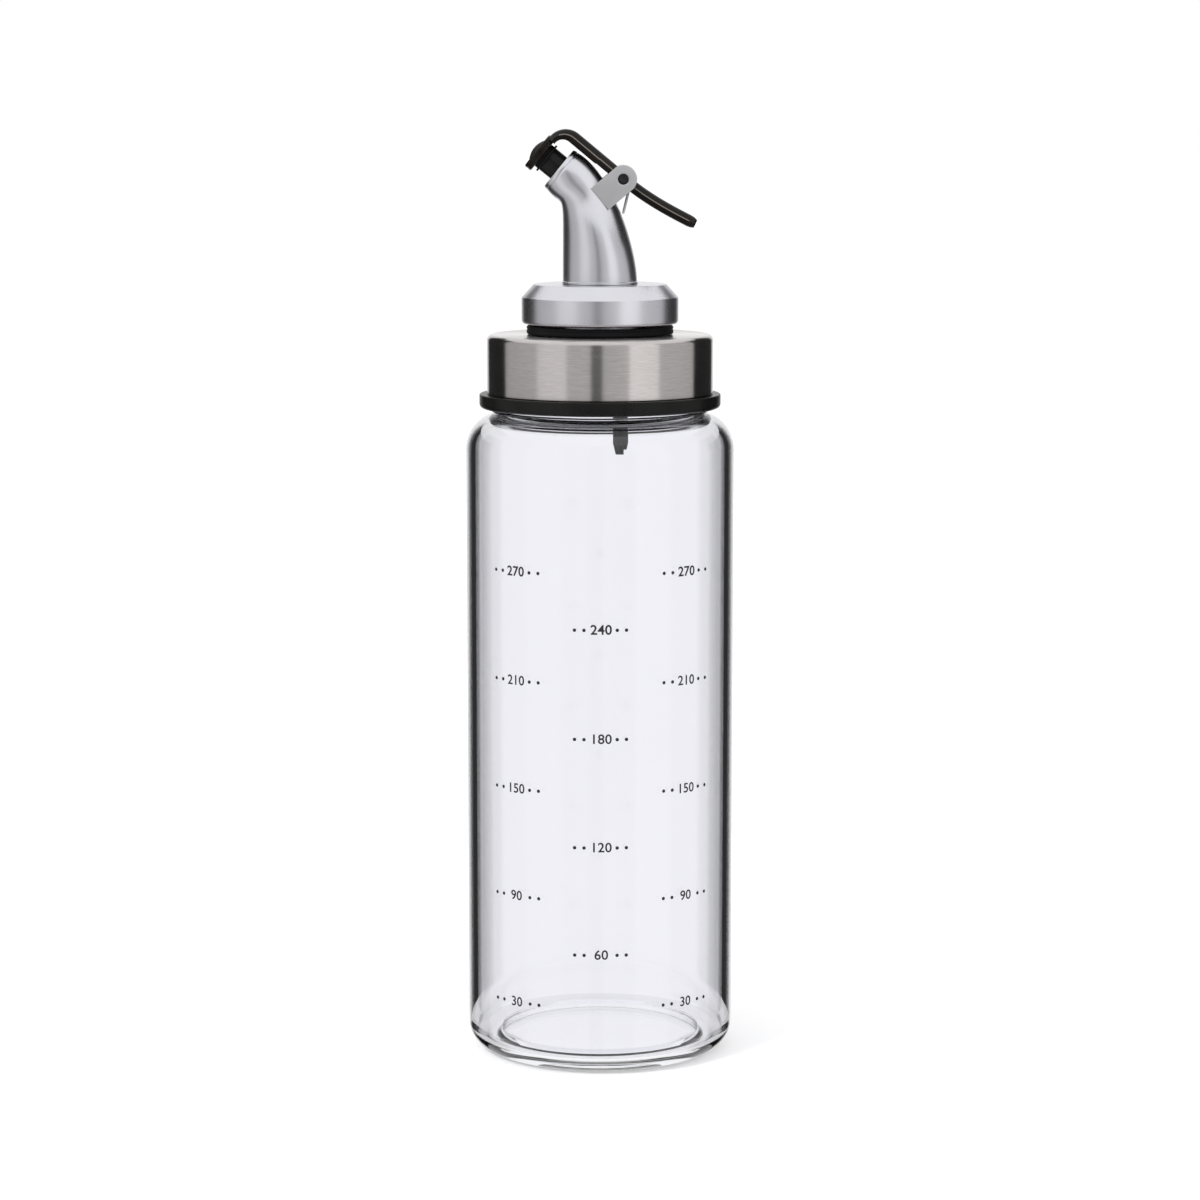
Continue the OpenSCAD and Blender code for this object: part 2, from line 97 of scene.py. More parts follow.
def fillet(corners: Iterable[tuple[float, ...]], steps: int = 7) -> list[Point]:
    """Rounds the corners of a closed outline.

    Args:
        corners: The corners as (x, y) or (x, y, radius), in order round the outline.
        steps: How many points an arc has for each corner.

    Returns:
        The outline's points.
    """
    marks = [(Vector(c[:2]), c[2] if len(c) > 2 else 0.0) for c in corners]
    out: list[Point] = []
    for i, (here, radius) in enumerate(marks):
        back = (marks[i - 1][0] - here).normalized()
        ahead = (marks[(i + 1) % len(marks)][0] - here).normalized()
        half = back.angle(ahead, math.pi) / 2
        if radius <= 0 or half > math.pi / 2 - 1e-3:
            out.append(tuple(here))
            continue
        centre = here + (back + ahead).normalized() * radius / math.sin(half)
        first = here + back * radius / math.tan(half) - centre
        last = here + ahead * radius / math.tan(half) - centre
        sweep = first.angle_signed(last)
        for k in range(steps):
            turned = first.copy()
            turned.rotate(Matrix.Rotation(-sweep * k / (steps - 1), 2))
            out.append(tuple(centre + turned))
    return out


def arc(centre: Point, radius: float, start: float, end: float, steps: int) -> list[Point]:
    """Points on an arc from one angle to another, in degrees."""
    return [tuple(Vector(centre) + radius * along(start + (end - start) * i / (steps - 1)))
            for i in range(steps)]


def dome(low: float, height: float, radius: float, steps: int = 9) -> list[Point]:
    """Section of a shallow dome from its rim to its crown on the axis."""
    ball = (radius**2 + height**2) / (2 * height)
    return [(radius * (1 - i / steps), low + height - ball
             + math.sqrt(ball**2 - (radius * (1 - i / steps)) ** 2)) for i in range(steps + 1)]


# ------------------------------------------------------------------ meshes


def make_piece(name: str, rings: Sequence[Ring], looped: bool = True, crease: float = 32,
               place: Matrix | None = None) -> bpy.types.Object:
    """Joins rings of points, in millimetres, into one closed mesh.

    Args:
        name: The piece's name.
        rings: Rings with the same number of points. A ring of one point closes an end.
        looped: Whether the last ring joins the first; if not, the ends are capped.
        crease: Edges sharper than this many degrees stay sharp.
        place: Where the rings' own frame lies, in millimetres.

    Returns:
        The new object.
    """
    bm = bmesh.new()
    shift = place or Matrix.Identity(4)
    made = [[bm.verts.new((shift @ Vector(p)) * MM) for p in ring] for ring in rings]
    pairs = list(zip(made, made[1:])) + ([(made[-1], made[0])] if looped else [])
    for low, high in pairs:
        count = max(len(low), len(high))
        for i in range(count):
            j = (i + 1) % count
            corners = [low[i % len(low)], low[j % len(low)], high[j % len(high)], high[i % len(high)]]
            face = list(dict.fromkeys(corners))
            if len(face) > 2:
                bm.faces.new(face)
    if not looped:
        for end in (made[0], made[-1]):
            if len(end) > 2:
                bm.faces.new(end)
    return finish_mesh(name, bm, crease)


def band(bm: bmesh.types.BMesh, low: Sequence[bmesh.types.BMVert],
         high: Sequence[bmesh.types.BMVert]) -> None:
    """Joins two rings of vertices by a band of faces."""
    for i in range(len(low)):
        j = (i + 1) % len(low)
        bm.faces.new((low[i], low[j], high[j], high[i]))


def finish_mesh(name: str, bm: bmesh.types.BMesh, crease: float) -> bpy.types.Object:
    """Turns a bmesh into a smooth-shaded object with sharp edges above an angle."""
    bmesh.ops.recalc_face_normals(bm, faces=bm.faces[:])
    mesh = bpy.data.meshes.new(name)
    bm.to_mesh(mesh)
    bm.free()
    mesh.shade_smooth()
    mesh.set_sharp_from_angle(angle=math.radians(crease))
    piece = bpy.data.objects.new(name, mesh)
    bpy.context.scene.collection.objects.link(piece)
    return piece


def revolve(name: str, profile: Sequence[Point], sides: int = 144, crease: float = 32,
            place: Matrix | None = None,
            swell: Callable[[float, float, float], float] | None = None) -> bpy.types.Object:
    """Turns a closed half section round the Z axis.

    Args:
        name: The piece's name.
        profile: Points (radius, z). A profile that starts and ends on the axis closes there.
        sides: How many points each ring has.
        crease: Edges sharper than this many degrees stay sharp.
        place: Where the axis lies.
        swell: Gives the radius to add at (radius, z, angle).

    Returns:
        The new object.
    """
    rings = []
    for r, z in profile:
        if r < 1e-6:
            rings.append([Vector((0, 0, z))])
            continue
        ring = []
        for k in range(sides):
            a = TURN * k / sides
            full = r + (swell(r, z, a) if swell else 0.0)
            ring.append(Vector((full * math.cos(a), full * math.sin(a), z)))
        rings.append(ring)
    on_axis = len(rings[0]) == 1 and len(rings[-1]) == 1
    return make_piece(name, rings, looped=not on_axis, crease=crease, place=place)


def hoop(mid: Vector, r: float, across: Vector, sides: int) -> Ring:
    """Ring of points round a point in the plane of symmetry."""
    return [Vector((mid.x + r * math.cos(a) * across.x, -r * math.sin(a), mid.y + r * math.cos(a) * across.y))
            for a in (TURN * k / sides for k in range(sides))]


def wire(name: str, route: Sequence[Vector], radius: float, sides: int = 12) -> bpy.types.Object:
    """Round wire along a route of 3-D points, with rounded-off ends."""
    rings = []
    last = len(route) - 1
    for i, here in enumerate(route):
        ahead = (route[min(i + 1, last)] - route[max(i - 1, 0)]).normalized()
        side = ahead.cross(Vector((0, 1, 0))).normalized()
        up = side.cross(ahead)
        shrink = 0.72 if i in (0, last) else 1.0
        rings.append([here + radius * shrink * (math.cos(a) * side + math.sin(a) * up)
                      for a in (TURN * k / sides for k in range(sides))])
    return make_piece(name, rings, looped=False, crease=50)


def smooth_route(marks: Sequence[Vector], steps: int) -> list[Vector]:
    """Points of a smooth curve through all marks."""
    out = []
    for k in range(len(marks) - 1):
        before, here, there = marks[max(k - 1, 0)], marks[k], marks[k + 1]
        after = marks[min(k + 2, len(marks) - 1)]
        handles = (here, here + (there - before) / 6, there - (after - here) / 6, there)
        out += [bend(handles, i / steps) for i in range(steps)]
    return out + [marks[-1]]


def carve(piece: bpy.types.Object, operation: str, tools: Iterable[bpy.types.Object],
          crease: float = 32) -> bpy.types.Object:
    """Adds tools to a piece or cuts them from it, and removes the tools.

    Args:
        piece: The piece that changes.
        operation: UNION or DIFFERENCE.
        tools: Closed meshes.
        crease: Edges sharper than this many degrees stay sharp afterwards.

    Returns:
        The piece.
    """
    for tool in tools:
        step = piece.modifiers.new("carve", "BOOLEAN")
        step.operation = operation
        step.solver = "EXACT"
        step.object = tool
        graph = bpy.context.evaluated_depsgraph_get()
        mesh = bpy.data.meshes.new_from_object(piece.evaluated_get(graph))
        piece.modifiers.clear()
        piece.data = mesh
        bpy.data.objects.remove(tool)
    piece.data.shade_smooth()
    piece.data.set_sharp_from_angle(angle=math.radians(crease))
    return piece


def drum(radius: float, low: float, high: float, place: Matrix | None = None,
         sides: int = 64) -> bpy.types.Object:
    """Closed cylinder used as a tool."""
    return revolve("tool", [(0, low), (radius, low), (radius, high), (0, high)], sides, place=place)


def block(size: tuple[float, float, float], place: Matrix) -> bpy.types.Object:
    """Closed box used as a tool, centred on its placement."""
    x, y, z = (n / 2 for n in size)
    rings = [[Vector(p) for p in ((-x, -y, h), (x, -y, h), (x, y, h), (-x, y, h))] for h in (-z, z)]
    return make_piece("tool", rings, looped=False, place=place)


def cross_axis(at: Vector) -> Matrix:
    """Frame with its Z axis along the part's Y axis, at a point of the plane of symmetry."""
    return Matrix.Translation((at.x, 0, at.y)) @ Matrix.Rotation(math.radians(90), 4, "X")


# ------------------------------------------------------------------ shader tools


class Signal:
    """A shader socket on which Python's operators add Math nodes."""

    def __init__(self, bench: "Bench", socket: bpy.types.NodeSocket) -> None:
        """Keeps the socket and the node tree that it is in."""
        self.bench = bench
        self.socket = socket

    def math(self, operation: str, *others: "Signal | float", clamp: bool = False) -> "Signal":
        """Adds a Math node whose first input is this signal."""
        values = dict(enumerate((self, *others)))
        return self.bench.add("ShaderNodeMath", {"operation": operation, "use_clamp": clamp}, values)

    def _flipped(self, operation: str, other: float) -> "Signal":
        """Adds a Math node whose second input is this signal."""
        return self.bench.add("ShaderNodeMath", {"operation": operation}, {0: other, 1: self})

    def __add__(self, other: "Signal | float") -> "Signal":
        """Sum."""
        return self.math("ADD", other)

    __radd__ = __add__

    def __mul__(self, other: "Signal | float") -> "Signal":
        """Product."""
        return self.math("MULTIPLY", other)

    __rmul__ = __mul__

    def __sub__(self, other: "Signal | float") -> "Signal":
        """Difference."""
        return self.math("SUBTRACT", other)

    def __rsub__(self, other: float) -> "Signal":
        """Difference with a number first."""
        return self._flipped("SUBTRACT", other)

    def __truediv__(self, other: "Signal | float") -> "Signal":
        """Quotient."""
        return self.math("DIVIDE", other)

    def __rtruediv__(self, other: float) -> "Signal":
        """Quotient with a number first."""
        return self._flipped("DIVIDE", other)

    def __pow__(self, other: float) -> "Signal":
        """Power."""
        return self.math("POWER", other)

    def step(self, low: float, high: float) -> "Signal":
        """Smooth step from 0 at low to 1 at high."""
        values = {"Value": self, "From Min": low, "From Max": high}
        return self.bench.add("ShaderNodeMapRange", {"interpolation_type": "SMOOTHSTEP"}, values)


class Bench:
    """Builds one node tree."""

    def __init__(self, tree: bpy.types.NodeTree) -> None:
        """Empties the tree."""
        self.tree = tree
        tree.nodes.clear()

    def add(self, kind: str, settings: dict | None = None, values: dict | None = None,
            output: str | int = 0) -> Signal:
        """Adds any node.

        Args:
            kind: The node's type.
            settings: Its properties, set first; stops are a colour ramp's positions and colours.
            values: Numbers, colours or signals for its sockets, by name or number.
            output: The socket that the answer stands for.

        Returns:
            The node's output as a signal.
        """
        node = self.tree.nodes.new(kind)
        for key, value in (settings or {}).items():
            if key == "stops":
                self._set_stops(node, value)
            else:
                setattr(node, key, value)
        for key, value in (values or {}).items():
            if isinstance(value, Signal):
                self.tree.links.new(value.socket, node.inputs[key])
            else:
                node.inputs[key].default_value = value
        return Signal(self, node.outputs[output] if len(node.outputs) else None)

    @staticmethod
    def _set_stops(node: bpy.types.Node, stops: Sequence[Span]) -> None:
        """Gives a colour ramp its grey stops."""
        ramp = node.color_ramp.elements
        while len(ramp) < len(stops):
            ramp.new(0.5)
        for element, (position, level) in zip(ramp, stops):
            element.position = position
            element.color = (level, level, level, 1)

    def place(self) -> Signal:
        """Position on the object, in metres."""
        return self.add("ShaderNodeTexCoord", output="Object")

    def split(self, vector: Signal) -> tuple[Signal, Signal, Signal]:
        """The three parts of a vector."""
        node = self.add("ShaderNodeSeparateXYZ", values={0: vector})
        outputs = node.socket.node.outputs
        return Signal(self, outputs[0]), Signal(self, outputs[1]), Signal(self, outputs[2])

    def join(self, x: Signal | float, y: Signal | float, z: Signal | float) -> Signal:
        """A vector from its three parts."""
        return self.add("ShaderNodeCombineXYZ", values={0: x, 1: y, 2: z})

    def noise(self, vector: Signal, scale: float, detail: float = 2, rough: float = 0.5) -> Signal:
        """Fractal noise from 0 to 1."""
        values = {"Vector": vector, "Scale": scale, "Detail": detail, "Roughness": rough}
        return self.add("ShaderNodeTexNoise", values=values)

    def mix(self, share: Signal, first: Sequence[float], second: Sequence[float]) -> Signal:
        """Colour between two colours."""
        return self.add("ShaderNodeMix", {"data_type": "RGBA"},
                        {0: share, 6: (*first, 1), 7: (*second, 1)}, output=2)

    def bump(self, height: Signal, depth_mm: float, strength: float = 1) -> Signal:
        """Normal of a surface with small relief."""
        return self.add("ShaderNodeBump", values={"Height": height, "Distance": depth_mm * MM,
                                                  "Strength": strength})

    def surface(self, values: dict) -> None:
        """Adds the Principled shader with these values and the output."""
        shader = self.add("ShaderNodeBsdfPrincipled", values=values)
        self.add("ShaderNodeOutputMaterial", values={"Surface": shader})


def new_material(name: str) -> tuple[bpy.types.Material, Bench]:
    """Adds a material with an empty node tree and the bench that builds the tree."""
    material = bpy.data.materials.new(name)
    material.use_nodes = True
    return material, Bench(material.node_tree)


@dataclass(frozen=True)
class Finish:
    """A finish: the numbers that its shader needs, and a slot name.

    Attributes:
        slot: The material slot's name; not used.
        colour: Main colour.
        worn: Colour in the lighter or rubbed places; on the lever, its warm brown is a painted sheen.
        rough: Lowest and highest roughness.
        grain_mm: Size of the surface's grain.
        relief_mm: Height of that grain.
        cloudy: Share of slow clouds, rather than grain, in the colour.
    """

    slot: str
    colour: tuple[float, float, float]
    worn: tuple[float, float, float]
    rough: Span
    grain_mm: float = 0.5
    relief_mm: float = 0.004
    cloudy: float = 0.6

    def fixed(self) -> dict:
        """Socket values that are the same all over the surface."""
        return {"IOR": 1.5}

    def coordinates(self, bench: Bench) -> Signal:
        """Where the grain is looked up."""
        return bench.place()

    def make(self, name: str) -> bpy.types.Material:
        """Builds the material, or returns it if it is there.

        Args:
            name: The material's name.

        Returns:
            The material.
        """
        if name in bpy.data.materials:
            return bpy.data.materials[name]
        material, bench = new_material(name)
        where = self.coordinates(bench)
        grain = bench.noise(where, scale=1 / (self.grain_mm * MM), detail=3)
        cloud = bench.noise(bench.place(), scale=60, detail=3, rough=0.6).step(0.35, 0.7)
        wear = cloud * self.cloudy + grain * (1 - self.cloudy)
        low, high = self.rough
        values = {
            "Base Color": bench.mix(wear, self.colour, self.worn),
            "Roughness": low + (high - low) * (grain * 0.5 + cloud * 0.5),
            "Normal": bench.bump(grain, self.relief_mm),
        }
        bench.surface(values | self.fixed())
        return material


@dataclass(frozen=True)
class Metal(Finish):
    """Bare or plated metal."""

    def fixed(self) -> dict:
        """Fully metallic."""
        return {"Metallic": 1.0}


@dataclass(frozen=True)
class TurnedMetal(Metal):
    """Steel brushed round the bottle's axis, so its scratches run round it."""

    streak: float = 24.0

    def fixed(self) -> dict:
        """Scratches spread reflections across themselves."""
        return {"Metallic": 1.0, "Anisotropic": 0.9, "Anisotropic Rotation": 0.25}

    def coordinates(self, bench: Bench) -> Signal:
        """Long round the axis and short across it."""
        x, y, z = bench.split(bench.place())
        radius = (x * x + y * y) ** 0.5
        return bench.join(x / self.streak, y / self.streak, z - radius)


@dataclass(frozen=True)
class Glass(Finish):
    """Clear glass."""

    def fixed(self) -> dict:
        """Light passes through."""
        return {"IOR": 1.5, "Transmission Weight": 1.0}


@dataclass(frozen=True)
class Moulding(Finish):
    """Glossy moulded plastic with a thin polished skin."""

    def fixed(self) -> dict:
        """A polished skin that reflects little."""
        return {"IOR": 1.5, "Specular IOR Level": 0.13}


@dataclass(frozen=True)
class Soft(Finish):
    """Rubber or silicone with a little light inside."""

    glow: float = 0.0

    def fixed(self) -> dict:
        """Light scatters a millimetre into it."""
        return {"IOR": 1.42, "Subsurface Weight": self.glow, "Subsurface Scale": 0.001,
                "Specular IOR Level": 0.12}


class Finishes(Enum):
    """Every finish on the bottle."""

    GLASS = Glass("clear_glass", (0.955, 0.955, 0.98), (0.946, 0.946, 0.975), (0.0, 0.012), 14, 0.003)
    INK = Finish("clear_glass", (0.004, 0.004, 0.006), (0.015, 0.015, 0.018), (0.42, 0.6), 0.12, 0.003)
    STEEL = TurnedMetal("brushed_steel", (0.46, 0.43, 0.42), (0.72, 0.69, 0.68), (0.17, 0.25), 0.11,
                        0.0005, 0.1)
    PLATING = Metal("satin_plating", (0.70, 0.70, 0.745), (0.77, 0.77, 0.805), (0.26, 0.32), 0.35, 0.0014)
    # Darker copy of the horn's plating for the ears, which are cast with the horn: the lower colour is
    # painted shade on their flat faces.
    EAR_PLATING = Metal("satin_plating", (0.60, 0.60, 0.62), (0.66, 0.66, 0.67), (0.5, 0.6), 0.12, 0.003)
    BLACK = Moulding("black_plastic", (0.004, 0.004, 0.004), (0.009, 0.0085, 0.008), (0.24, 0.34), 0.5, 0.003)
    # Near-black plastic whose warm brown tint, strongest in the lighter places, is a painted sheen standing
    # in for reflected warm light.
    LEVER = Moulding("lever_plastic", (0.004, 0.0033, 0.003), (0.011, 0.008, 0.0065), (0.15, 0.24), 0.6,
                     0.002)
    # Light grey for the seam wire: a painted highlight along the lever's side ridge.
    LEVER_SEAM = Moulding("lever_plastic", (0.11, 0.10, 0.09), (0.16, 0.15, 0.13), (0.2, 0.3), 0.6, 0.002)
    RUBBER = Soft("black_rubber", (0.004, 0.004, 0.0045), (0.010, 0.010, 0.0105), (0.46, 0.62), 0.16, 0.006)
    SILICONE = Soft("silicone", (0.78, 0.78, 0.76), (0.86, 0.86, 0.84), (0.4, 0.55), 0.4, 0.004)
    NOZZLE = Moulding("dark_nozzle", (0.005, 0.005, 0.005), (0.013, 0.012, 0.011), (0.16, 0.25), 0.4, 0.003)
    VENT = Moulding("vent_plastic", (0.005, 0.005, 0.006), (0.012, 0.012, 0.013), (0.2, 0.32), 0.5, 0.003)
    THIN_STEEL = Metal("thin_steel", (0.55, 0.55, 0.56), (0.64, 0.64, 0.64), (0.24, 0.36), 0.2, 0.002)
    PIN = Metal("black_pin", (0.02, 0.02, 0.022), (0.05, 0.05, 0.05), (0.3, 0.45), 0.2, 0.003)
    SPRING = Metal("spring_steel", (0.6, 0.6, 0.61), (0.72, 0.72, 0.72), (0.25, 0.35), 0.1, 0.002)


def dress(piece: bpy.types.Object, finish: Finishes, body: str, *nodes: str) -> bpy.types.Object:
    """Gives a piece its finish, its body and the CAD nodes that it stands for.

    Args:
        piece: The finished mesh.
        finish: Which finish it gets.
        body: The body that it moves with.
        nodes: CAD nodes that it replaces.

    Returns:
        The piece.
    """
    piece.data.materials.clear()
    piece.data.materials.append(finish.value.make(finish.name.lower()))
    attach(piece, body)
    if nodes:
        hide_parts(*nodes)
    log.info("%s: %d faces, rides on %s", piece.name, len(piece.data.polygons), body)
    return piece


# ------------------------------------------------------------------ bottle


@dataclass
class ScrewThread:
    """Ridge that climbs round a wall.

    Attributes:
        foot_z: Height of the ridge's middle at angle 0.
        depth: How far the ridge stands out; negative on an inner wall.
        root_w: Width at the wall.
        crest_w: Width of the flat crest.
        wall_r: Radius of the wall that it is on.
        pitch: Rise in one turn.
        turns: Length of the ridge in turns.
        fade: Length in turns over which the ridge rises from the wall at each end.
    """

    foot_z: float
    depth: float
    root_w: float
    crest_w: float
    wall_r: float
    pitch: float = 3.5
    turns: float = 1.75
    fade: float = 0.09

    def swell(self, r: float, z: float, angle: float) -> float:
        """Radius to add at a point of the wall."""
        if abs(r - self.wall_r) > 0.01:
            return 0.0
        best = 0.0
        for k in range(2):
            travelled = angle / TURN + k
            off = abs(z - self.foot_z - self.pitch * travelled)
            flank = (self.root_w / 2 - off) / ((self.root_w - self.crest_w) / 2)
            end = min(travelled, self.turns - travelled) / self.fade
            best = max(best, min(1.0, flank, end))
        return self.depth * best


@dataclass
class GlassBottle:
    """The glass body with its neck, and the printed scale.

    Attributes:
        heel_in: Radius of the inside corner at the heel.
        punt: Height of the push-up under the base.
        crown: Height of the floor's rise inside.
        foot_r: Inner radius of the ring that the bottle stands on.
        bead_r: Radius of the low bead at the neck's foot.
        mark_z: Height of the scale's zero.
        mark_rise: Rise of the scale for each millilitre.
        columns: Azimuths of the side columns of numbers; 0 is the front, -Y.
        dot_lift: How far the dots' two faces stand off the glass.
    """

    body_r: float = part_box("glass_bottle")[1].x / MM
    mouth_z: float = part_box("glass_bottle")[1].z / MM
    wall: float = 2.0
    shoulder_z: float = 145.3
    shoulder_round: float = 8.5
    heel_round: float = 6.0
    heel_in: float = 2.4
    floor: float = 3.0
    punt: float = 1.2
    crown: float = 1.2
    punt_r: float = 22.4
    foot_r: float = 22.0
    neck_r: float = 22.2
    bead_r: float = 23.6
    bead_h: float = 1.0
    thread: ScrewThread = field(default_factory=lambda: ScrewThread(
        foot_z=149.85, depth=1.3, root_w=2.0, crest_w=0.9, wall_r=22.2))
    mark_z: float = 3.44
    mark_rise: float = 0.4022
    middle: float = 0.5
    columns: Span = (-38.1, 39.2)
    digit_h: float = 3.0
    dot_r: float = 0.39
    dot_lift: Span = (0.006, 0.03)

    def build(self) -> None:
        """Builds the glass and the print."""
        neck_in = self.neck_r - self.wall
        inner_r = self.body_r - self.wall
        top_in = self.shoulder_z - self.wall
        outside = fillet([
            (self.foot_r, 0, 0.4), (self.body_r, 0, self.heel_round),
            (self.body_r, self.shoulder_z, self.shoulder_round),
            (self.bead_r, self.shoulder_z, 0.5), (self.bead_r, self.shoulder_z + self.bead_h, 0.5),
            (self.neck_r, self.shoulder_z + self.bead_h, 0.3)], 13)
        threads = [(self.neck_r, self.shoulder_z + 1.4 + THREAD_STEP * i) for i in range(55)]
        inside = fillet([
            (self.neck_r, self.mouth_z, 0.8), (neck_in, self.mouth_z, 0.8),
            (neck_in, top_in, 1.2), (inner_r, top_in, self.shoulder_round - self.wall),
            (inner_r, self.floor, self.heel_in), (self.punt_r, self.floor, 1.5)], 13)
        profile = (dome(0, self.punt, self.foot_r)[::-1][:-1] + outside + threads + inside
                   + dome(self.floor, self.crown, self.punt_r - 0.4))
        glass = revolve("bottle_glass", profile, 192, 28, swell=self.thread.swell)
        dress(glass, Finishes.GLASS, "bottle", "glass_bottle")
        self._print_scale()

    def _print_scale(self) -> None:
        """Prints the millilitre numbers and their dots on the glass."""
        bm = bmesh.new()
        for volume in range(30, 271, 30):
            z = self.mark_z + self.mark_rise * volume
            weight = 0.06 if volume >= 240 else 0.042
            in_middle = volume % 60 == 0
            offsets = (-11.2, -7.2, 6.7, 10.6) if in_middle else (-11.4, -7.2, 7.0, 11.3)
            for centre in (self.middle,) if in_middle else self.columns:
                self._number(bm, str(volume), centre, z, weight)
                self._dots(bm, [centre + offset for offset in offsets], z)
        ink = finish_mesh("scale_print", bm, 60)
        dress(ink, Finishes.INK, "bottle")

    def _wrap(self, x: float, height: float, lift: float, azimuth: float, z: float) -> Vector:
        """Point of the print on the glass; azimuth 0 faces -Y."""
        a = math.radians(azimuth) + x / self.body_r
        r = self.body_r + lift
        return Vector((r * math.sin(a), -r * math.cos(a), z + height)) * MM

    def _number(self, bm: bmesh.types.BMesh, text: str, azimuth: float, z: float, weight: float) -> None:
        """Adds a number, centred on an azimuth and a height."""
        curve = bpy.data.curves.new("digits", "FONT")
        curve.body = text
        curve.size = self.digit_h
        curve.align_x = "CENTER"
        curve.align_y = "CENTER"
        curve.space_character = 1.02
        curve.offset = weight
        curve.extrude = 0.012
        curve.resolution_u = 4
        holder = bpy.data.objects.new("digits", curve)
        bpy.context.scene.collection.objects.link(holder)
        graph = bpy.context.evaluated_depsgraph_get()
        mesh = bpy.data.meshes.new_from_object(holder.evaluated_get(graph))
        start = len(bm.verts)
        bm.from_mesh(mesh)
        bm.verts.ensure_lookup_table()
        for v in bm.verts[start:]:
            v.co = self._wrap(v.co.x * 1.04, v.co.y, 0.018 + v.co.z, azimuth, z)
        bpy.data.objects.remove(holder)
        bpy.data.curves.remove(curve)
        bpy.data.meshes.remove(mesh)

    def _dots(self, bm: bmesh.types.BMesh, azimuths: Iterable[float], z: float) -> None:
        """Adds round dots at one height."""
        sides = 20
        edge = [self.dot_r * Vector((math.cos(TURN * k / sides), math.sin(TURN * k / sides)))
                for k in range(sides)]
        for azimuth in azimuths:
            low, high = ([bm.verts.new(self._wrap(at.x, at.y, lift, azimuth, z)) for at in edge]
                         for lift in self.dot_lift)
            bm.faces.new(low)
            bm.faces.new(high)
            band(bm, low, high)


# ------------------------------------------------------------------ lid


@dataclass
class Lid:
    """The steel shell, the black threaded liner that it is pressed on, and the sealing ring."""

    steel_r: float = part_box("lid_shell")[1].x / MM
    steel_z: Span = (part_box("lid_shell")[0].z / MM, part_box("lid_shell")[1].z / MM)
    steel_t: float = 0.5
    steel_round: float = 1.3
    hole_r: float = 13.35
    rim_r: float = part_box("lid_liner")[1].x / MM
    rim_z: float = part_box("lid_liner")[0].z / MM
    liner_r: Span = (23.8, 24.75)
    liner_top: Span = (160.5, 162.0)
    boss_r: Span = (13.2, 14.6)
    boss_z: float = 154.0
    gasket_r: Span = (19.2, 23.5)
    gasket_z: Span = (159.25, 160.45)
    thread: ScrewThread = field(default_factory=lambda: ScrewThread(
        foot_z=148.1, depth=-1.15, root_w=1.7, crest_w=0.7, wall_r=23.8))

    def build(self) -> None:
        """Builds the three pieces."""
        self._shell()
        self._liner()
        low, high = self.gasket_z
        ring = fillet([(self.gasket_r[0], low, 0.25), (self.gasket_r[1], low, 0.25),
                       (self.gasket_r[1], high, 0.25), (self.gasket_r[0], high, 0.25)])
        dress(revolve("lid_sealing_ring", ring), Finishes.SILICONE, "gasket", "lid_gasket")

    def _shell(self) -> None:
        """Steel shell with a rolled top edge."""
        low, high = self.steel_z
        inner = self.steel_r - self.steel_t
        section = fillet([
            (inner, low, 0.15), (self.steel_r, low, 0.2), (self.steel_r, high, self.steel_round),
            (self.hole_r, high, 0.2), (self.hole_r, high - self.steel_t, 0.1),
            (inner, high - self.steel_t, self.steel_round - self.steel_t)], 9)
        shell = revolve("lid_steel", section, 192)
        dress(shell, Finishes.STEEL, "lid", "lid_shell")

    def _liner(self) -> None:
        """Black liner with its standing-out rim, its thread and the boss for the stopper."""
        low, rim_top = self.rim_z, self.steel_z[0] - 0.05
        inner, outer = self.liner_r
        under, top = self.liner_top
        steps = int((under - low - 1.2) / THREAD_STEP)
        threads = [(inner, under - 0.4 - THREAD_STEP * i) for i in range(steps)]
        section = fillet([(inner, low, 0.2), (self.rim_r, low, 1.0), (self.rim_r, rim_top, 0.3),
                          (outer, rim_top), (outer, top, 0.8), (self.boss_r[0], top, 0.3),
                          (self.boss_r[0], self.boss_z, 0.3), (self.boss_r[1], self.boss_z, 0.3),
                          (self.boss_r[1], under, 0.3), (inner, under)]) + threads
        liner = revolve("lid_liner_body", section, 192, swell=self.thread.swell)
        dress(liner, Finishes.BLACK, "lid", "lid_liner")


# ------------------------------------------------------------------ stopper


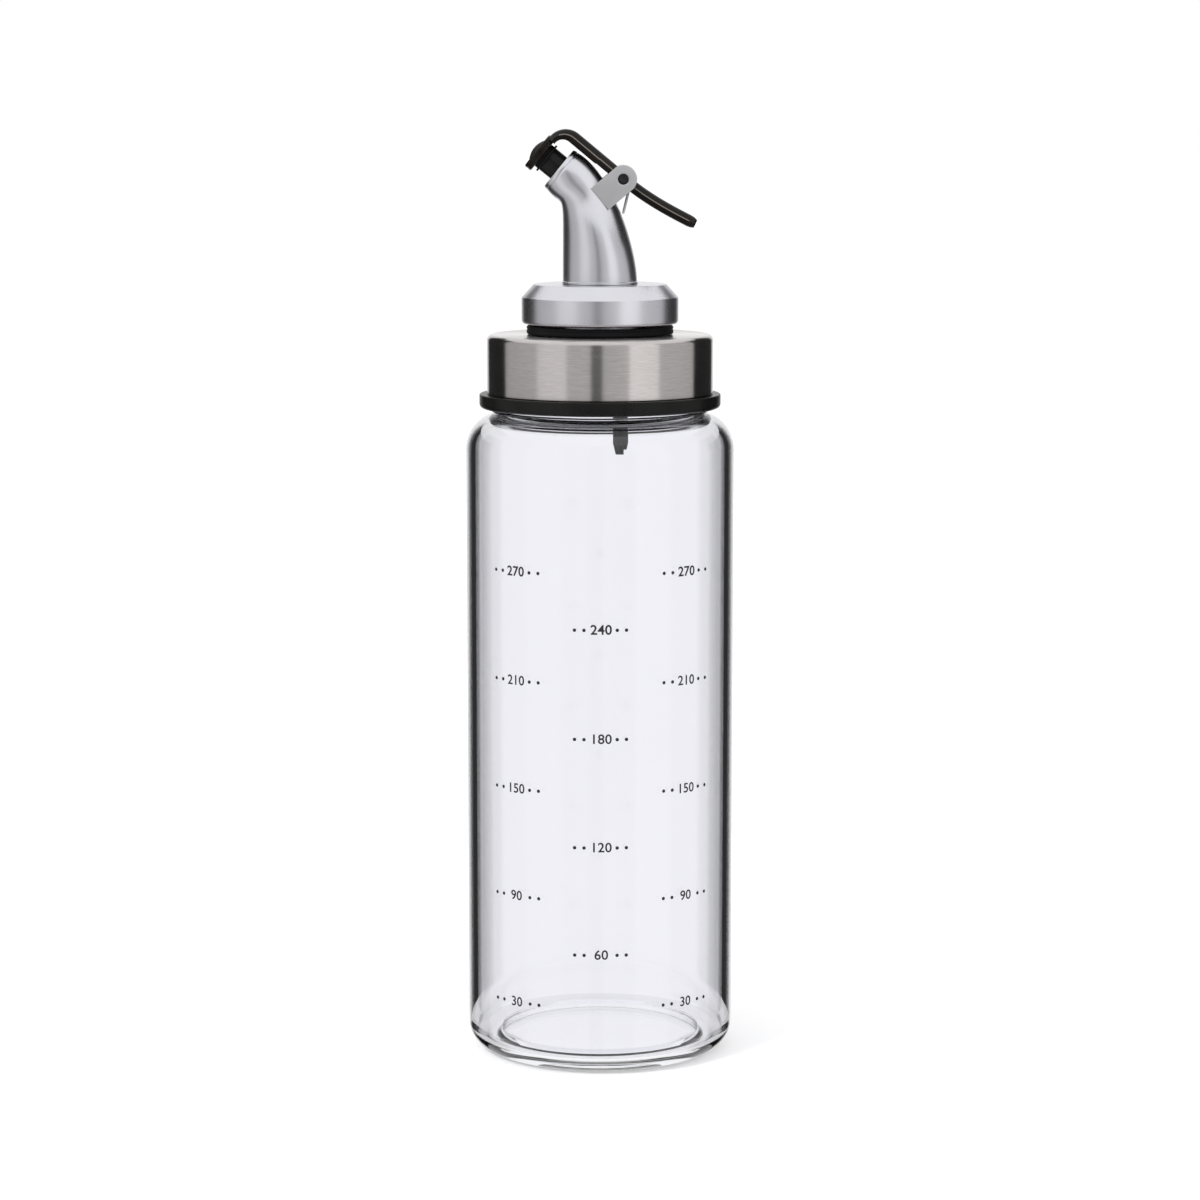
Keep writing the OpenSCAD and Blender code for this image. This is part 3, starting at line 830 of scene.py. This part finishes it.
@dataclass
class Stopper:
    """The finned rubber sleeve, the tube inside it, its O-ring and the vent tube.

    Attributes:
        fin_out: How far a fin stands out of the plug.
        fin_step: Height from one fin to the next.
        groove: Half the height and the depth of the groove round the flange.
    """

    flange_r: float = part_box("stopper_sleeve")[1].x / MM
    flange_z: Span = (162.6, 164.8)
    plug_z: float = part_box("stopper_sleeve")[0].z / MM
    plug_r: float = 12.4
    bore_r: float = 9.1
    fin_out: float = 0.55
    fin_step: float = 2.867
    groove: Span = (0.28, 0.16)
    core_r: float = 9.0
    core_z: Span = (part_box("stopper_core")[0].z / MM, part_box("stopper_core")[1].z / MM)
    vent_r: float = 1.7
    vent_z: Span = (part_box("vent_tube")[0].z / MM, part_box("vent_tube")[1].z / MM)

    def build(self) -> None:
        """Builds the four pieces."""
        self._sleeve()
        self._core()
        self._vent()
        ring = revolve("stem_o_ring", arc((5.9, 159.1), 0.49, 0, 345, 24), 96, 60)
        dress(ring, Finishes.RUBBER, "spout", "core_oring")

    def _sleeve(self) -> None:
        """Rubber sleeve: a flange with a shallow groove round it and four soft fins."""
        low, high = self.flange_z
        middle = (low + high) / 2
        half, deep = self.groove
        fins: list[Point] = []
        for i in range(4):
            centre = (self.plug_r - 0.3, self.plug_z + 1.6 + i * self.fin_step)
            fins += arc(centre, self.fin_out + 0.3, -68, 68, 11)
        section = (fillet([(self.bore_r, high, 0.3), (self.bore_r, self.plug_z, 0.3),
                           (self.plug_r, self.plug_z, 0.5)]) + fins
                   + fillet([(self.plug_r, low, 0.2), (self.flange_r, low, 0.45),
                             (self.flange_r, middle - half), (self.flange_r - deep, middle),
                             (self.flange_r, middle + half), (self.flange_r, high, 0.45)]))
        dress(revolve("stopper_rubber", section, 192, 40), Finishes.RUBBER, "stopper", "stopper_sleeve")

    def _core(self) -> None:
        """Inner tube with a foot flange and a floor with its ways for oil and air."""
        low, high = self.core_z
        floor_z, foot_z, foot_r = low + 3.5, low + 1.6, self.core_r + 2.5
        section = fillet([(0, low), (foot_r, low, 0.5), (foot_r, foot_z, 0.3),
                          (self.core_r, foot_z, 0.2), (self.core_r, high, 0.2), (SOCKET_R, high, 0.2),
                          (SOCKET_R, floor_z, 0.3), (0, floor_z)])
        core = revolve("stopper_tube", section, 128)
        ways = [(VENT_X, 0, self.vent_r + 0.02), (-1.9, 0, 2.9), (1.4, -4.1, 1.3), (1.4, 4.1, 1.3)]
        tools = [drum(r, low - 1, floor_z + 1, Matrix.Translation((x, y, 0)), 48) for x, y, r in ways]
        dress(carve(core, "DIFFERENCE", tools), Finishes.PLATING, "spout", "stopper_core")

    def _vent(self) -> None:
        """Air tube with a tapered, notched tip."""
        low, high = self.vent_z
        bore = 0.8
        section = fillet([(bore, low), (self.vent_r - 0.6, low, 0.15), (self.vent_r, low + 3.3),
                          (self.vent_r, high, 0.2), (1.02, high, 0.1), (1.02, self.core_z[0] + 1.4),
                          (bore, self.core_z[0] + 1.4)])
        at = Matrix.Translation((VENT_X, 0, 0))
        vent = revolve("air_tube", section, 72, place=at)
        notch = block((2.8, 2.8, 2.4), Matrix.Translation((VENT_X + 2.1, 0, low + 0.2)))
        dress(carve(vent, "DIFFERENCE", [notch]), Finishes.VENT, "spout", "vent_tube")


# ------------------------------------------------------------------ spout


@dataclass
class HornShape:
    """Lines of the horn in its plane of symmetry, which the other spout pieces follow.

    Attributes:
        mouth: Centre of the mouth.
        tilt: Angle of the pouring direction above the horizontal.
        ear_tilt: Angle of the ears above the horizontal.
        ear_at: Share of the horn's length at which the ears' middle line starts.
        ear_out: Distance of that start from the horn's middle line.
        ear_l: Length from there to the pin.
    """

    foot_r: float = 8.3
    foot_z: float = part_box("spout_collar")[1].z / MM
    mouth: Vector = field(default_factory=lambda: Vector((-9.12, 199.3)))
    mouth_r: float = 5.03
    tilt: float = 39.2
    ear_tilt: float = 40.0
    ear_at: float = 0.573
    ear_out: float = 2.81
    ear_l: float = 6.8

    def __post_init__(self) -> None:
        """Works out the curves of the front and the back."""
        self.pour = along(180 - self.tilt)
        self.rise = Vector((self.pour.y, -self.pour.x))
        lower = self.mouth - self.rise * self.mouth_r
        upper = self.mouth + self.rise * self.mouth_r
        self.front = (Vector((-self.foot_r, self.foot_z)), Vector((-self.foot_r, self.foot_z + 24.8)),
                      lower - 8.3 * along(124), lower)
        self.back = (Vector((self.foot_r, self.foot_z)), Vector((self.foot_r, self.foot_z + 8.5)),
                     upper - 8.9 * along(157), upper)
        self.ear_root = self.mid(self.ear_at) + self.ear_out * self.across(self.ear_at)
        self.pin = self.ear_root + self.ear_l * along(self.ear_tilt)

    def mid(self, s: float) -> Vector:
        """Middle of the horn at share s of its length."""
        return (bend(self.front, s) + bend(self.back, s)) / 2

    def radius(self, s: float) -> float:
        """Radius of the horn at share s of its length."""
        return (bend(self.back, s) - bend(self.front, s)).length / 2

    def across(self, s: float) -> Vector:
        """Direction from the horn's front to its back."""
        return (bend(self.back, s) - bend(self.front, s)).normalized()

    def mouth_frame(self) -> Matrix:
        """Frame at the mouth's centre whose Z axis pours out."""
        turn = Matrix.Rotation(math.radians(-90 + self.tilt), 4, "Y")
        return Matrix.Translation((self.mouth.x, 0, self.mouth.y)) @ turn


@dataclass
class Spout:
    """The cast horn with its ears, the collar, the nozzle, the pin, the spring and the riser.

    Attributes:
        bevel: Width and height of the collar's bevel.
        pocket_r: Inner and outer radius of the pocket under the collar.
        stem_r: Inner and outer radius of the stem.
        nozzle_z: Where the nozzle starts and ends on the axis of the mouth.
        ear_y: Inner and outer face of an ear, from the plane of symmetry.
        seat_at: Share of the horn's length at which the spring's leg rests on its back.
    """

    shape: HornShape
    sides: int = 112
    collar_r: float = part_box("spout_collar")[1].x / MM
    collar_z: Span = (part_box("spout_collar")[0].z / MM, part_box("spout_collar")[1].z / MM)
    bevel: Span = (2.7, 3.0)
    pocket_r: Span = (10.2, 15.3)
    stem_r: Span = (5.2, 6.4)
    stem_z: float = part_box("spout_body")[0].z / MM
    nozzle_r: Span = (2.2, 3.0)
    nozzle_z: Span = (-3.8, 3.25)
    ear_y: Span = (3.6, 5.4)
    ear_r: float = 3.05
    pin_r: float = 1.2
    wire_r: float = 0.3
    coil_r: float = 1.81
    seat_at: float = 0.47

    def build(self) -> None:
        """Builds the spout's pieces."""
        self._horn()
        for side, label in ((-1, "front"), (1, "back")):
            self._ear(side, label)
        self._collar()
        self._nozzle()
        self._pin()
        self._spring()
        self._riser()

    def _horn(self) -> None:
        """Horn with its lip band, foot line, stem and passage, as one closed casting."""
        shape, n = self.shape, self.sides
        level = Vector((1, 0))
        rings: list[Ring] = []

        def flat(r: float, z: float) -> None:
            """Adds a level ring on the bottle's axis."""
            rings.append(hoop(Vector((0, z)), r, level, n))

        inner, outer = self.stem_r
        groove_z, groove_r = self.stem_z + 3, 0.52
        stem = [(inner, self.stem_z + 0.2), (inner + 0.2, self.stem_z), (outer - 0.3, self.stem_z),
                (outer, self.stem_z + 0.3), (outer, groove_z - groove_r)]
        for i in range(1, 8):
            a = math.pi * i / 8
            stem.append((outer - groove_r * math.sin(a), groove_z - groove_r * math.cos(a)))
        stem += [(outer, groove_z + groove_r), (outer, shape.foot_z + 0.02)]
        for r, z in stem:
            flat(r, z)
        foot_r = shape.foot_r
        for r, z in ((foot_r + 0.02, 0.02), (foot_r + 0.14, 0.1), (foot_r + 0.14, 0.5), (foot_r, 0.62)):
            flat(r, shape.foot_z + z)
        count = 84
        for i in range(3, count + 1):
            s = i / count * 0.955
            rings.append(hoop(shape.mid(s), shape.radius(s), shape.across(s), n))
        for s, extra in ((0.958, -0.06), (0.962, -0.06), (0.966, 0.05), (0.975, 0.1), (0.99, 0.1)):
            rings.append(hoop(shape.mid(s), shape.radius(s) + extra, shape.across(s), n))
        nozzle = self.nozzle_r[1] + 0.02
        for back, r in ((0.0, shape.mouth_r + 0.02), (-0.06, shape.mouth_r - 0.25), (-0.06, nozzle + 0.5),
                        (0.12, nozzle + 0.1), (0.3, nozzle), (4.0, nozzle), (4.0, 2.4)):
            rings.append(hoop(shape.mouth - shape.pour * back, r, shape.rise, n))
        for i in range(30):
            s = 0.84 * (1 - i / 30)
            bore = max(2.4, 5.35 - 2.95 * s / 0.8)
            rings.append(hoop(shape.mid(s), bore, shape.across(s), n))
        horn = make_piece("spout_horn", rings, crease=38)
        dress(horn, Finishes.PLATING, "spout", "spout_body")

    def _ear(self, side: int, label: str) -> None:
        """One ear: a flat plate with a bevelled outline and a bevelled pin hole.

        Args:
            side: -1 for the ear on the -Y side, 1 for the other.
            label: Word for the piece's name.
        """
        length = (self.shape.pin - self.shape.ear_root).length
        corner = math.atan2(self.ear_r, length)
        angles = sorted([math.pi + corner, math.pi - corner, math.pi / 2, 3 * math.pi / 2]
                        + [TURN * k / 96 + 0.004 for k in range(96)])

        def reach(a: float) -> float:
            """Distance from the pin to the outline."""
            if math.cos(a) >= 0:
                return self.ear_r
            by_side = self.ear_r / max(abs(math.sin(a)), 1e-6)
            return min(by_side, length / -math.cos(a))

        def outline(y: float, inset: float, hole: float | None = None) -> Ring:
            """One ring of the plate, or of its hole."""
            ring = []
            for a in angles:
                r = hole if hole else reach(a) - inset
                at = self.shape.pin + r * along(math.degrees(a) + self.shape.ear_tilt)
                ring.append(Vector((at.x, side * y, at.y)))
            return ring

        near, far = self.ear_y
        hole = self.pin_r + 0.02
        rings = [outline(near, 0, hole), outline(far - 0.2, 0, hole), outline(far - 0.03, 0, hole + 0.2),
                 outline(far, 0, hole + 0.26), outline(far, 0.14), outline(far - 0.03, 0.04),
                 outline(far - 0.1, 0), outline(near + 0.1, 0), outline(near, 0.1)]
        ear = make_piece("spout_ear_" + label, rings, crease=25)
        # The ears' darker plating colour is painted shade.
        dress(ear, Finishes.EAR_PLATING, "spout")

    def _collar(self) -> None:
        """Collar with a bevelled top and a pocket below."""
        low, high = self.collar_z
        hub, skirt = self.pocket_r
        r, (wide, tall) = self.collar_r, self.bevel
        section = fillet([
            (SOCKET_R, low, 0.2), (hub, low, 0.2), (hub, high - tall, 0.3), (skirt, high - tall, 0.3),
            (skirt, low, 0.2), (r, low, 0.8), (r, high - tall, 0.35), (r - wide, high, 0.4),
            (SOCKET_R, high, 0.1)], 9)
        dress(revolve("spout_collar_ring", section, 192, 40), Finishes.PLATING, "spout", "spout_collar")

    def _nozzle(self) -> None:
        """Black tube in the mouth."""
        inner, outer = self.nozzle_r
        low, high = self.nozzle_z
        section = fillet([(inner, low, 0.2), (outer, low, 0.2), (outer, high, 0.15), (inner, high, 0.25)])
        tube = revolve("nozzle_pipe", section, 96, place=self.shape.mouth_frame())
        dress(tube, Finishes.NOZZLE, "spout", "nozzle_tube")

    def _pin(self) -> None:
        """Pin with rounded, dimpled ends."""
        end = self.ear_y[1] - 0.3
        half = [(0, end - 0.26), (0.3, end - 0.22), (0.55, end - 0.06), (0.68, end), (1.0, end),
                (1.14, end - 0.06), (self.pin_r, end - 0.2)]
        section = [(r, -z) for r, z in half] + half[::-1]
        pin = revolve("lever_pin", section, 64, place=cross_axis(self.shape.pin))
        dress(pin, Finishes.PIN, "spout", "pivot_pin")

    def spring_route(self, arm_tilt: float) -> list[Vector]:
        """Route of the spring's wire: up from the horn's back, round the pin, under the tail."""
        pin, at_share = self.shape.pin, self.seat_at
        seat = bend(self.shape.back, at_share) + (self.wire_r + 0.15) * self.shape.across(at_share)
        start = angle_of(seat - pin) + math.degrees(math.acos(self.coil_r / (seat - pin).length))
        end = arm_tilt - 90 + 4 * 360
        count = 150
        half = (end - start) / 360 * 0.7 / 2
        coil = []
        for i in range(count + 1):
            at = pin + self.coil_r * along(start + (end - start) * i / count)
            coil.append(Vector((at.x, half * (1 - 2 * i / count), at.y)))
        foot = Vector((seat.x, half, seat.y))
        arm = along(arm_tilt)
        leg = [foot + (coil[0] - foot) * i / 12 for i in range(12)]
        tail = [coil[-1] + 2.5 * i / 8 * Vector((arm.x, 0, arm.y)) for i in range(1, 9)]
        return leg + coil + tail

    def _spring(self) -> None:
        """Closing spring, whose tail leg follows the lever."""
        arm_tilt = LeverShape(self.shape).arm_tilt
        spring = wire("closing_spring", self.spring_route(arm_tilt), self.wire_r)
        spring.data.materials.append(Finishes.SPRING.value.make("spring"))
        arm, up = along(arm_tilt), left_of(along(arm_tilt))
        way = (arm + 0.5 * up).normalized()
        for reach in (2.1, 2.6):
            at = self.shape.pin + reach * way
        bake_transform(spring)
        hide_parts("return_spring")
        log.info("%s: bends between spout and lever", spring.name)

    def _riser(self) -> None:
        """Thin steel air pipe that climbs inside the horn to the mouth."""
        shape = self.shape
        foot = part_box("vent_riser")[0].z / MM
        wall_x = self.stem_r[0] - 1.5
        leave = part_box("vent_tube")[1].z / MM + 0.6
        marks = [Vector((VENT_X, foot)), Vector((VENT_X, leave)), Vector((wall_x, self.stem_z + 3)),
                 Vector((wall_x, shape.foot_z)), shape.mid(0.45) + 1.9 * shape.across(0.45),
                 shape.mouth - 3.6 * shape.pour, shape.mouth + 1.5 * shape.pour]
        route = smooth_route(marks, 8)
        rings: list[Ring] = []
        for r in (1.0, 0.7):
            part = []
            for i, at in enumerate(route):
                ahead = (route[min(i + 1, len(route) - 1)] - route[max(i - 1, 0)]).normalized()
                part.append(hoop(at, r, left_of(ahead), 20))
            rings += part if r == 1.0 else part[::-1]
        dress(make_piece("air_riser", rings), Finishes.THIN_STEEL, "spout", "vent_riser")


# ------------------------------------------------------------------ lever


@dataclass
class LeverShape:
    """Lines of the lever in its plane of symmetry."""

    horn: HornShape
    bend_r: float = 4.62
    arm_t: float = 2.75
    tail_t: float = 2.6
    inner_r: float = 2.2

    def __post_init__(self) -> None:
        """Works out the arm's line from the bend and the pin."""
        horn = self.horn
        self.neck = horn.mouth + 1.35 * horn.pour + 4.06 * horn.rise
        to_pin = horn.pin - self.neck
        self.mid_r = self.bend_r - self.arm_t / 2
        self.arm_tilt = angle_of(to_pin) - math.degrees(math.asin(self.mid_r / to_pin.length))
        self.arm = along(self.arm_tilt)
        self.up = left_of(self.arm)
        self.arm_l = to_pin.dot(self.arm)
        self.inner = self.neck - 0.56 * self.arm + (self.bend_r - self.arm_t - self.inner_r) * self.up


@dataclass
class Lever:
    """The thumb lever with its head disc, and the seal that it presses on the nozzle.

    Attributes:
        head_z: Where the head disc starts and ends on the axis of the mouth.
        tail_l: Lengths of the tail's two stretches past the pin.
        boss_r: Radius of the boss round the pin.
        bore_r: Radius of the pin's bore.
        eye_r: Radius of the hole that the seal's button sits in.
        section: Right half of the cross-section, as share of the height and of half the width.
    """

    shape: LeverShape
    half_w: float = 3.3
    head_r: float = 4.4
    head_z: Span = (4.5, 6.3)
    tail_l: Span = (10.3, 8.6)
    boss_r: float = 2.6
    bore_r: float = 1.26
    eye_r: float = 1.52
    seam_r: float = 0.13
    section: tuple[Point, ...] = ((0.0, 0.80), (0.02, 0.91), (0.08, 0.985), (0.16, 0.99), (0.46, 0.99),
                                  (0.485, 1.0), (0.515, 1.0), (0.545, 0.965), (0.64, 0.88), (0.80, 0.75),
                                  (0.92, 0.63), (0.985, 0.50), (1.0, 0.38))

    def build(self) -> None:
        """Builds the lever and its seal."""
        self._lever()
        self._seams()
        self._seal()

    def _stations(self) -> list[tuple[Vector, Vector]]:
        """Points of the lever's underside and top side, from the head to the tip."""
        s = self.shape
        first = 146.5
        out = []
        for i in range(22):
            a = first + (s.arm_tilt + 90 - first) * i / 21
            out.append((s.inner + s.inner_r * along(a), s.neck + s.bend_r * along(a)))
        step_l = s.arm_l / 2
        for x, thick in ((1.2, s.arm_t), (3.5, s.arm_t), (step_l - 0.5, s.arm_t), (step_l, s.arm_t),
                         (step_l + 0.2, s.tail_t), (step_l + 2.5, s.tail_t), (s.arm_l - 2.4, s.tail_t)):
            top = s.neck + x * s.arm + s.bend_r * s.up
            out.append((top - thick * s.up, top))
        pin = s.horn.pin
        knee = pin + self.tail_l[0] * along(s.arm_tilt + 4.2)
        tip = knee + self.tail_l[1] * along(s.arm_tilt + 12.3)
        handles = (pin, pin + 6.5 * s.arm, knee + 1.2 * along(s.arm_tilt + 8), tip)
        before = pin - 2.4 * s.arm
        for i in range(1, 29):
            t = i / 28
            here = bend(handles, t)
            ahead = (here - before).normalized()
            before = here
            half = s.tail_t / 2
            out.append((here - half * left_of(ahead), here + half * left_of(ahead)))
        return out

    def _lever(self) -> None:
        """Lofts the lever, adds its head and its boss and cuts the spring's slot and the bore."""
        s = self.shape
        rings: list[Ring] = []
        stations = self._stations()
        last = len(stations) - 1
        for i, (low, high) in enumerate(stations):
            back = {last: 0.72, last - 1: 0.93}.get(i, 1.0)
            middle = (low + high) / 2
            ring = []
            for side, points in ((1, self.section), (-1, self.section[::-1])):
                for v, w in points:
                    at = middle + (low + (high - low) * v - middle) * back
                    ring.append(Vector((at.x, side * w * self.half_w * min(1.0, back + 0.03), at.y)))
            rings.append(ring)
        lever = make_piece("thumb_lever", rings, looped=False)
        low, high = self.head_z
        rim, line, face = self.head_r, self.head_r - 0.08, high - 0.25
        head = revolve("tool", fillet([
            (self.eye_r, low), (rim, low, 0.3), (rim, low + 0.72), (line, low + 0.8), (line, low + 0.92),
            (rim, low + 1.0), (rim, high, 0.35), (rim - 1.1, high, 0.1), (rim - 1.2, face, 0.1),
            (self.eye_r, face)]), 96, place=s.horn.mouth_frame())
        across = cross_axis(s.horn.pin)
        wide = self.half_w - 0.04
        boss = revolve("tool", fillet([(0, -wide), (self.boss_r, -wide, 0.3), (self.boss_r, wide, 0.3),
                                       (0, wide)]), 64, place=across)
        carve(lever, "UNION", [head, boss])
        tilt = Matrix.Rotation(math.radians(-s.arm_tilt), 4, "Y")
        slot = block((6, 3.5, 8), Matrix.Translation((s.horn.pin.x, 0, s.horn.pin.y)) @ tilt)
        carve(lever, "DIFFERENCE", [slot, drum(self.bore_r, -5, 5, across, 48)], 30)
        # The lever's colour carries a painted warm sheen.
        dress(lever, Finishes.LEVER, "lever", "lever")

    def _seams(self) -> None:
        """Fine moulding seam along each side of the lever, coloured light grey as a painted highlight of the
        lever's side ridge.
        """
        middle = [(low + high) / 2 for low, high in self._stations()[8:-2]]
        for side, label in ((-1, "front"), (1, "back")):
            route = [Vector((at.x, side * (self.half_w - 0.02), at.y)) for at in middle]
            # The seam wire's light grey colour paints the highlight of the side ridge.
            dress(wire("lever_seam_" + label, route, self.seam_r, 8), Finishes.LEVER_SEAM, "lever")

    def _seal(self) -> None:
        """Seal with its lip on the nozzle and its button through the head."""
        gap = 3.26
        lip_r, lip_z, pad_r, pad_z, stalk_r = 3.55, gap + 0.45, 3.0, self.head_z[0] - 0.02, 1.5
        button = dome(self.head_z[1] + 0.02, 0.8, 2.7, 6)
        section = fillet([(0, gap), (lip_r, gap, 0.12), (lip_r, lip_z, 0.12), (pad_r, lip_z, 0.1),
                          (pad_r, pad_z, 0.1), (stalk_r, pad_z)])
        section += [(stalk_r, button[0][1])] + button
        seal = revolve("nozzle_seal", section, 96, place=self.shape.horn.mouth_frame())
        dress(seal, Finishes.RUBBER, "lever", "tip_seal")


# ------------------------------------------------------------------ studio


@dataclass(frozen=True)
class CardRing:
    """A ring of grey and white cards round the bottle.

    Attributes:
        name: The ring's name.
        radius: Radius in metres.
        heights: Lowest and highest edge in metres.
        levels: Brightness by azimuth from the camera's side, in degrees, to its right.
        for_metal: Whether shiny surfaces see it; if not, only what looks through the glass does.
    """

    name: str
    radius: float
    heights: Span
    levels: tuple[Point, ...]
    for_metal: bool


@dataclass
class Studio:
    """Floor, soft light, reflecting cards and camera."""

    rings: tuple[CardRing, ...] = (
        CardRing("metal_cards", 0.2, (-0.12, 0.285), (
            (-180, 1.0), (-166, 0.95), (-157, 0.80), (-154, 0.76), (-149, 0.03), (-107, 0.02), (-105, 0.50),
            (-64, 0.56), (-62, 0.80), (-33, 0.86), (-31, 0.58), (-9, 0.60), (-8, 0.14), (2, 0.16), (3, 0.58),
            (27, 0.62), (29, 1.05), (57, 1.0), (60, 0.62), (103, 0.56), (105, 0.02), (149, 0.03), (154, 0.76),
            (157, 0.80), (166, 0.95), (180, 1.0)), True),
        CardRing("glass_cards", 1.0, (-0.26, 0.4), (
            (-180, 0.97), (-173, 0.95), (-165, 0.83), (-162, 0.77), (-157, 0.03), (-114, 0.02), (-110, 1.0),
            (110, 1.0), (114, 0.02), (157, 0.03), (162, 0.77), (165, 0.83), (173, 0.95), (180, 0.97)), False),
        CardRing("low_cards", 1.0, (-1.0, -0.26), ((-180, 0.86), (180, 0.86)), False))
    camera_at: tuple[float, float, float] = (0.0, -0.780, 0.2108)
    camera_tilt: float = 82.095
    lens: float = 104.6

    def build(self) -> None:
        """Builds the whole studio."""
        scene = bpy.context.scene
        scene.view_settings.view_transform = "Standard"
        self._world(scene)
        self._floor()
        for ring in self.rings:
            self._cards(ring)
        self._light("key_light", (-0.6, -0.6, 0.8), size=0.35, power=8.0)
        self._light("fill_light", (0.8, -0.3, 0.7), size=0.6, power=2.5)
        self._camera(scene)

    def _world(self, scene: bpy.types.Scene) -> None:
        """Even white surroundings."""
        world = bpy.data.worlds.new("studio_white")
        scene.world = world
        world.use_nodes = True
        bench = Bench(world.node_tree)
        background = bench.add("ShaderNodeBackground", values={"Color": (1, 1, 1, 1), "Strength": 1.0})
        bench.add("ShaderNodeOutputWorld", values={"Surface": background})

    def _floor(self) -> None:
        """Plain pale floor, which glows faintly so that it meets the white background."""
        reach = 20
        corners = ((-reach, -reach, 0), (reach, -reach, 0), (reach, reach, 0), (-reach, reach, 0))
        bm = bmesh.new()
        bm.faces.new([bm.verts.new(corner) for corner in corners])
        floor = finish_mesh("studio_floor", bm, 60)
        material, bench = new_material("floor_paint")
        values = {"Base Color": (0.72, 0.72, 0.73, 1), "Roughness": 0.85, "Specular IOR Level": 0.1,
                  "Emission Color": (1, 1, 1, 1), "Emission Strength": 0.3}
        bench.surface(values)
        floor.data.materials.append(material)
        floor.visible_transmission = False
        floor.visible_glossy = False

    def _cards(self, ring: CardRing) -> None:
        """Builds a ring of cards, which the camera does not see."""
        sides, brightest = 180, 1.05
        edge = [(ring.radius * math.cos(TURN * k / sides), ring.radius * math.sin(TURN * k / sides))
                for k in range(sides)]
        bm = bmesh.new()
        low, high = ([bm.verts.new((*at, z)) for at in edge] for z in ring.heights)
        band(bm, low, high)
        cards = finish_mesh(ring.name, bm, 60)
        material, bench = new_material(ring.name)
        material.cycles.emission_sampling = "NONE"
        x, y, _ = bench.split(bench.place())
        azimuth = x.math("ARCTAN2", 0 - y) / TURN + 0.5
        stops = [((degrees + 180) / 360, level / brightest) for degrees, level in ring.levels]
        level = bench.add("ShaderNodeValToRGB", {"stops": stops}, {0: azimuth})
        glow = bench.add("ShaderNodeEmission", values={"Color": level, "Strength": brightest})
        bench.add("ShaderNodeOutputMaterial", values={"Surface": glow})
        cards.data.materials.append(material)
        cards.visible_camera = False
        cards.visible_diffuse = False
        cards.visible_shadow = False
        cards.visible_glossy = ring.for_metal
        cards.visible_transmission = not ring.for_metal

    def _light(self, name: str, at: tuple[float, float, float], size: float, power: float) -> None:
        """Adds a large soft light aimed at the bottle, which only dull surfaces show."""
        target = Vector((0, 0, 0.1))
        light = bpy.data.lights.new(name, "AREA")
        light.shape = "DISK"
        light.size = size
        light.energy = power
        lamp = bpy.data.objects.new(name, light)
        lamp.location = at
        lamp.visible_glossy = False
        lamp.visible_transmission = False
        lamp.rotation_euler = (target - Vector(at)).to_track_quat("-Z", "Y").to_euler()
        bpy.context.scene.collection.objects.link(lamp)

    def _camera(self, scene: bpy.types.Scene) -> None:
        """Camera at eye level, looking slightly down."""
        camera = bpy.data.cameras.new("camera")
        camera.lens = self.lens
        camera.sensor_width = 36
        camera.clip_start = 0.01
        holder = bpy.data.objects.new("camera", camera)
        holder.location = self.camera_at
        holder.rotation_euler = (math.radians(self.camera_tilt), 0, 0)
        scene.collection.objects.link(holder)
        scene.camera = holder


def main() -> None:
    """Builds the studio and the bottle's sub-assemblies in order."""
    logging.basicConfig(level=logging.INFO, format="%(name)s: %(message)s")
    Studio().build()
    GlassBottle().build()
    Lid().build()
    Stopper().build()
    horn = HornShape()
    Spout(horn).build()
    Lever(LeverShape(horn)).build()


if __name__ == "__main__":
    main()
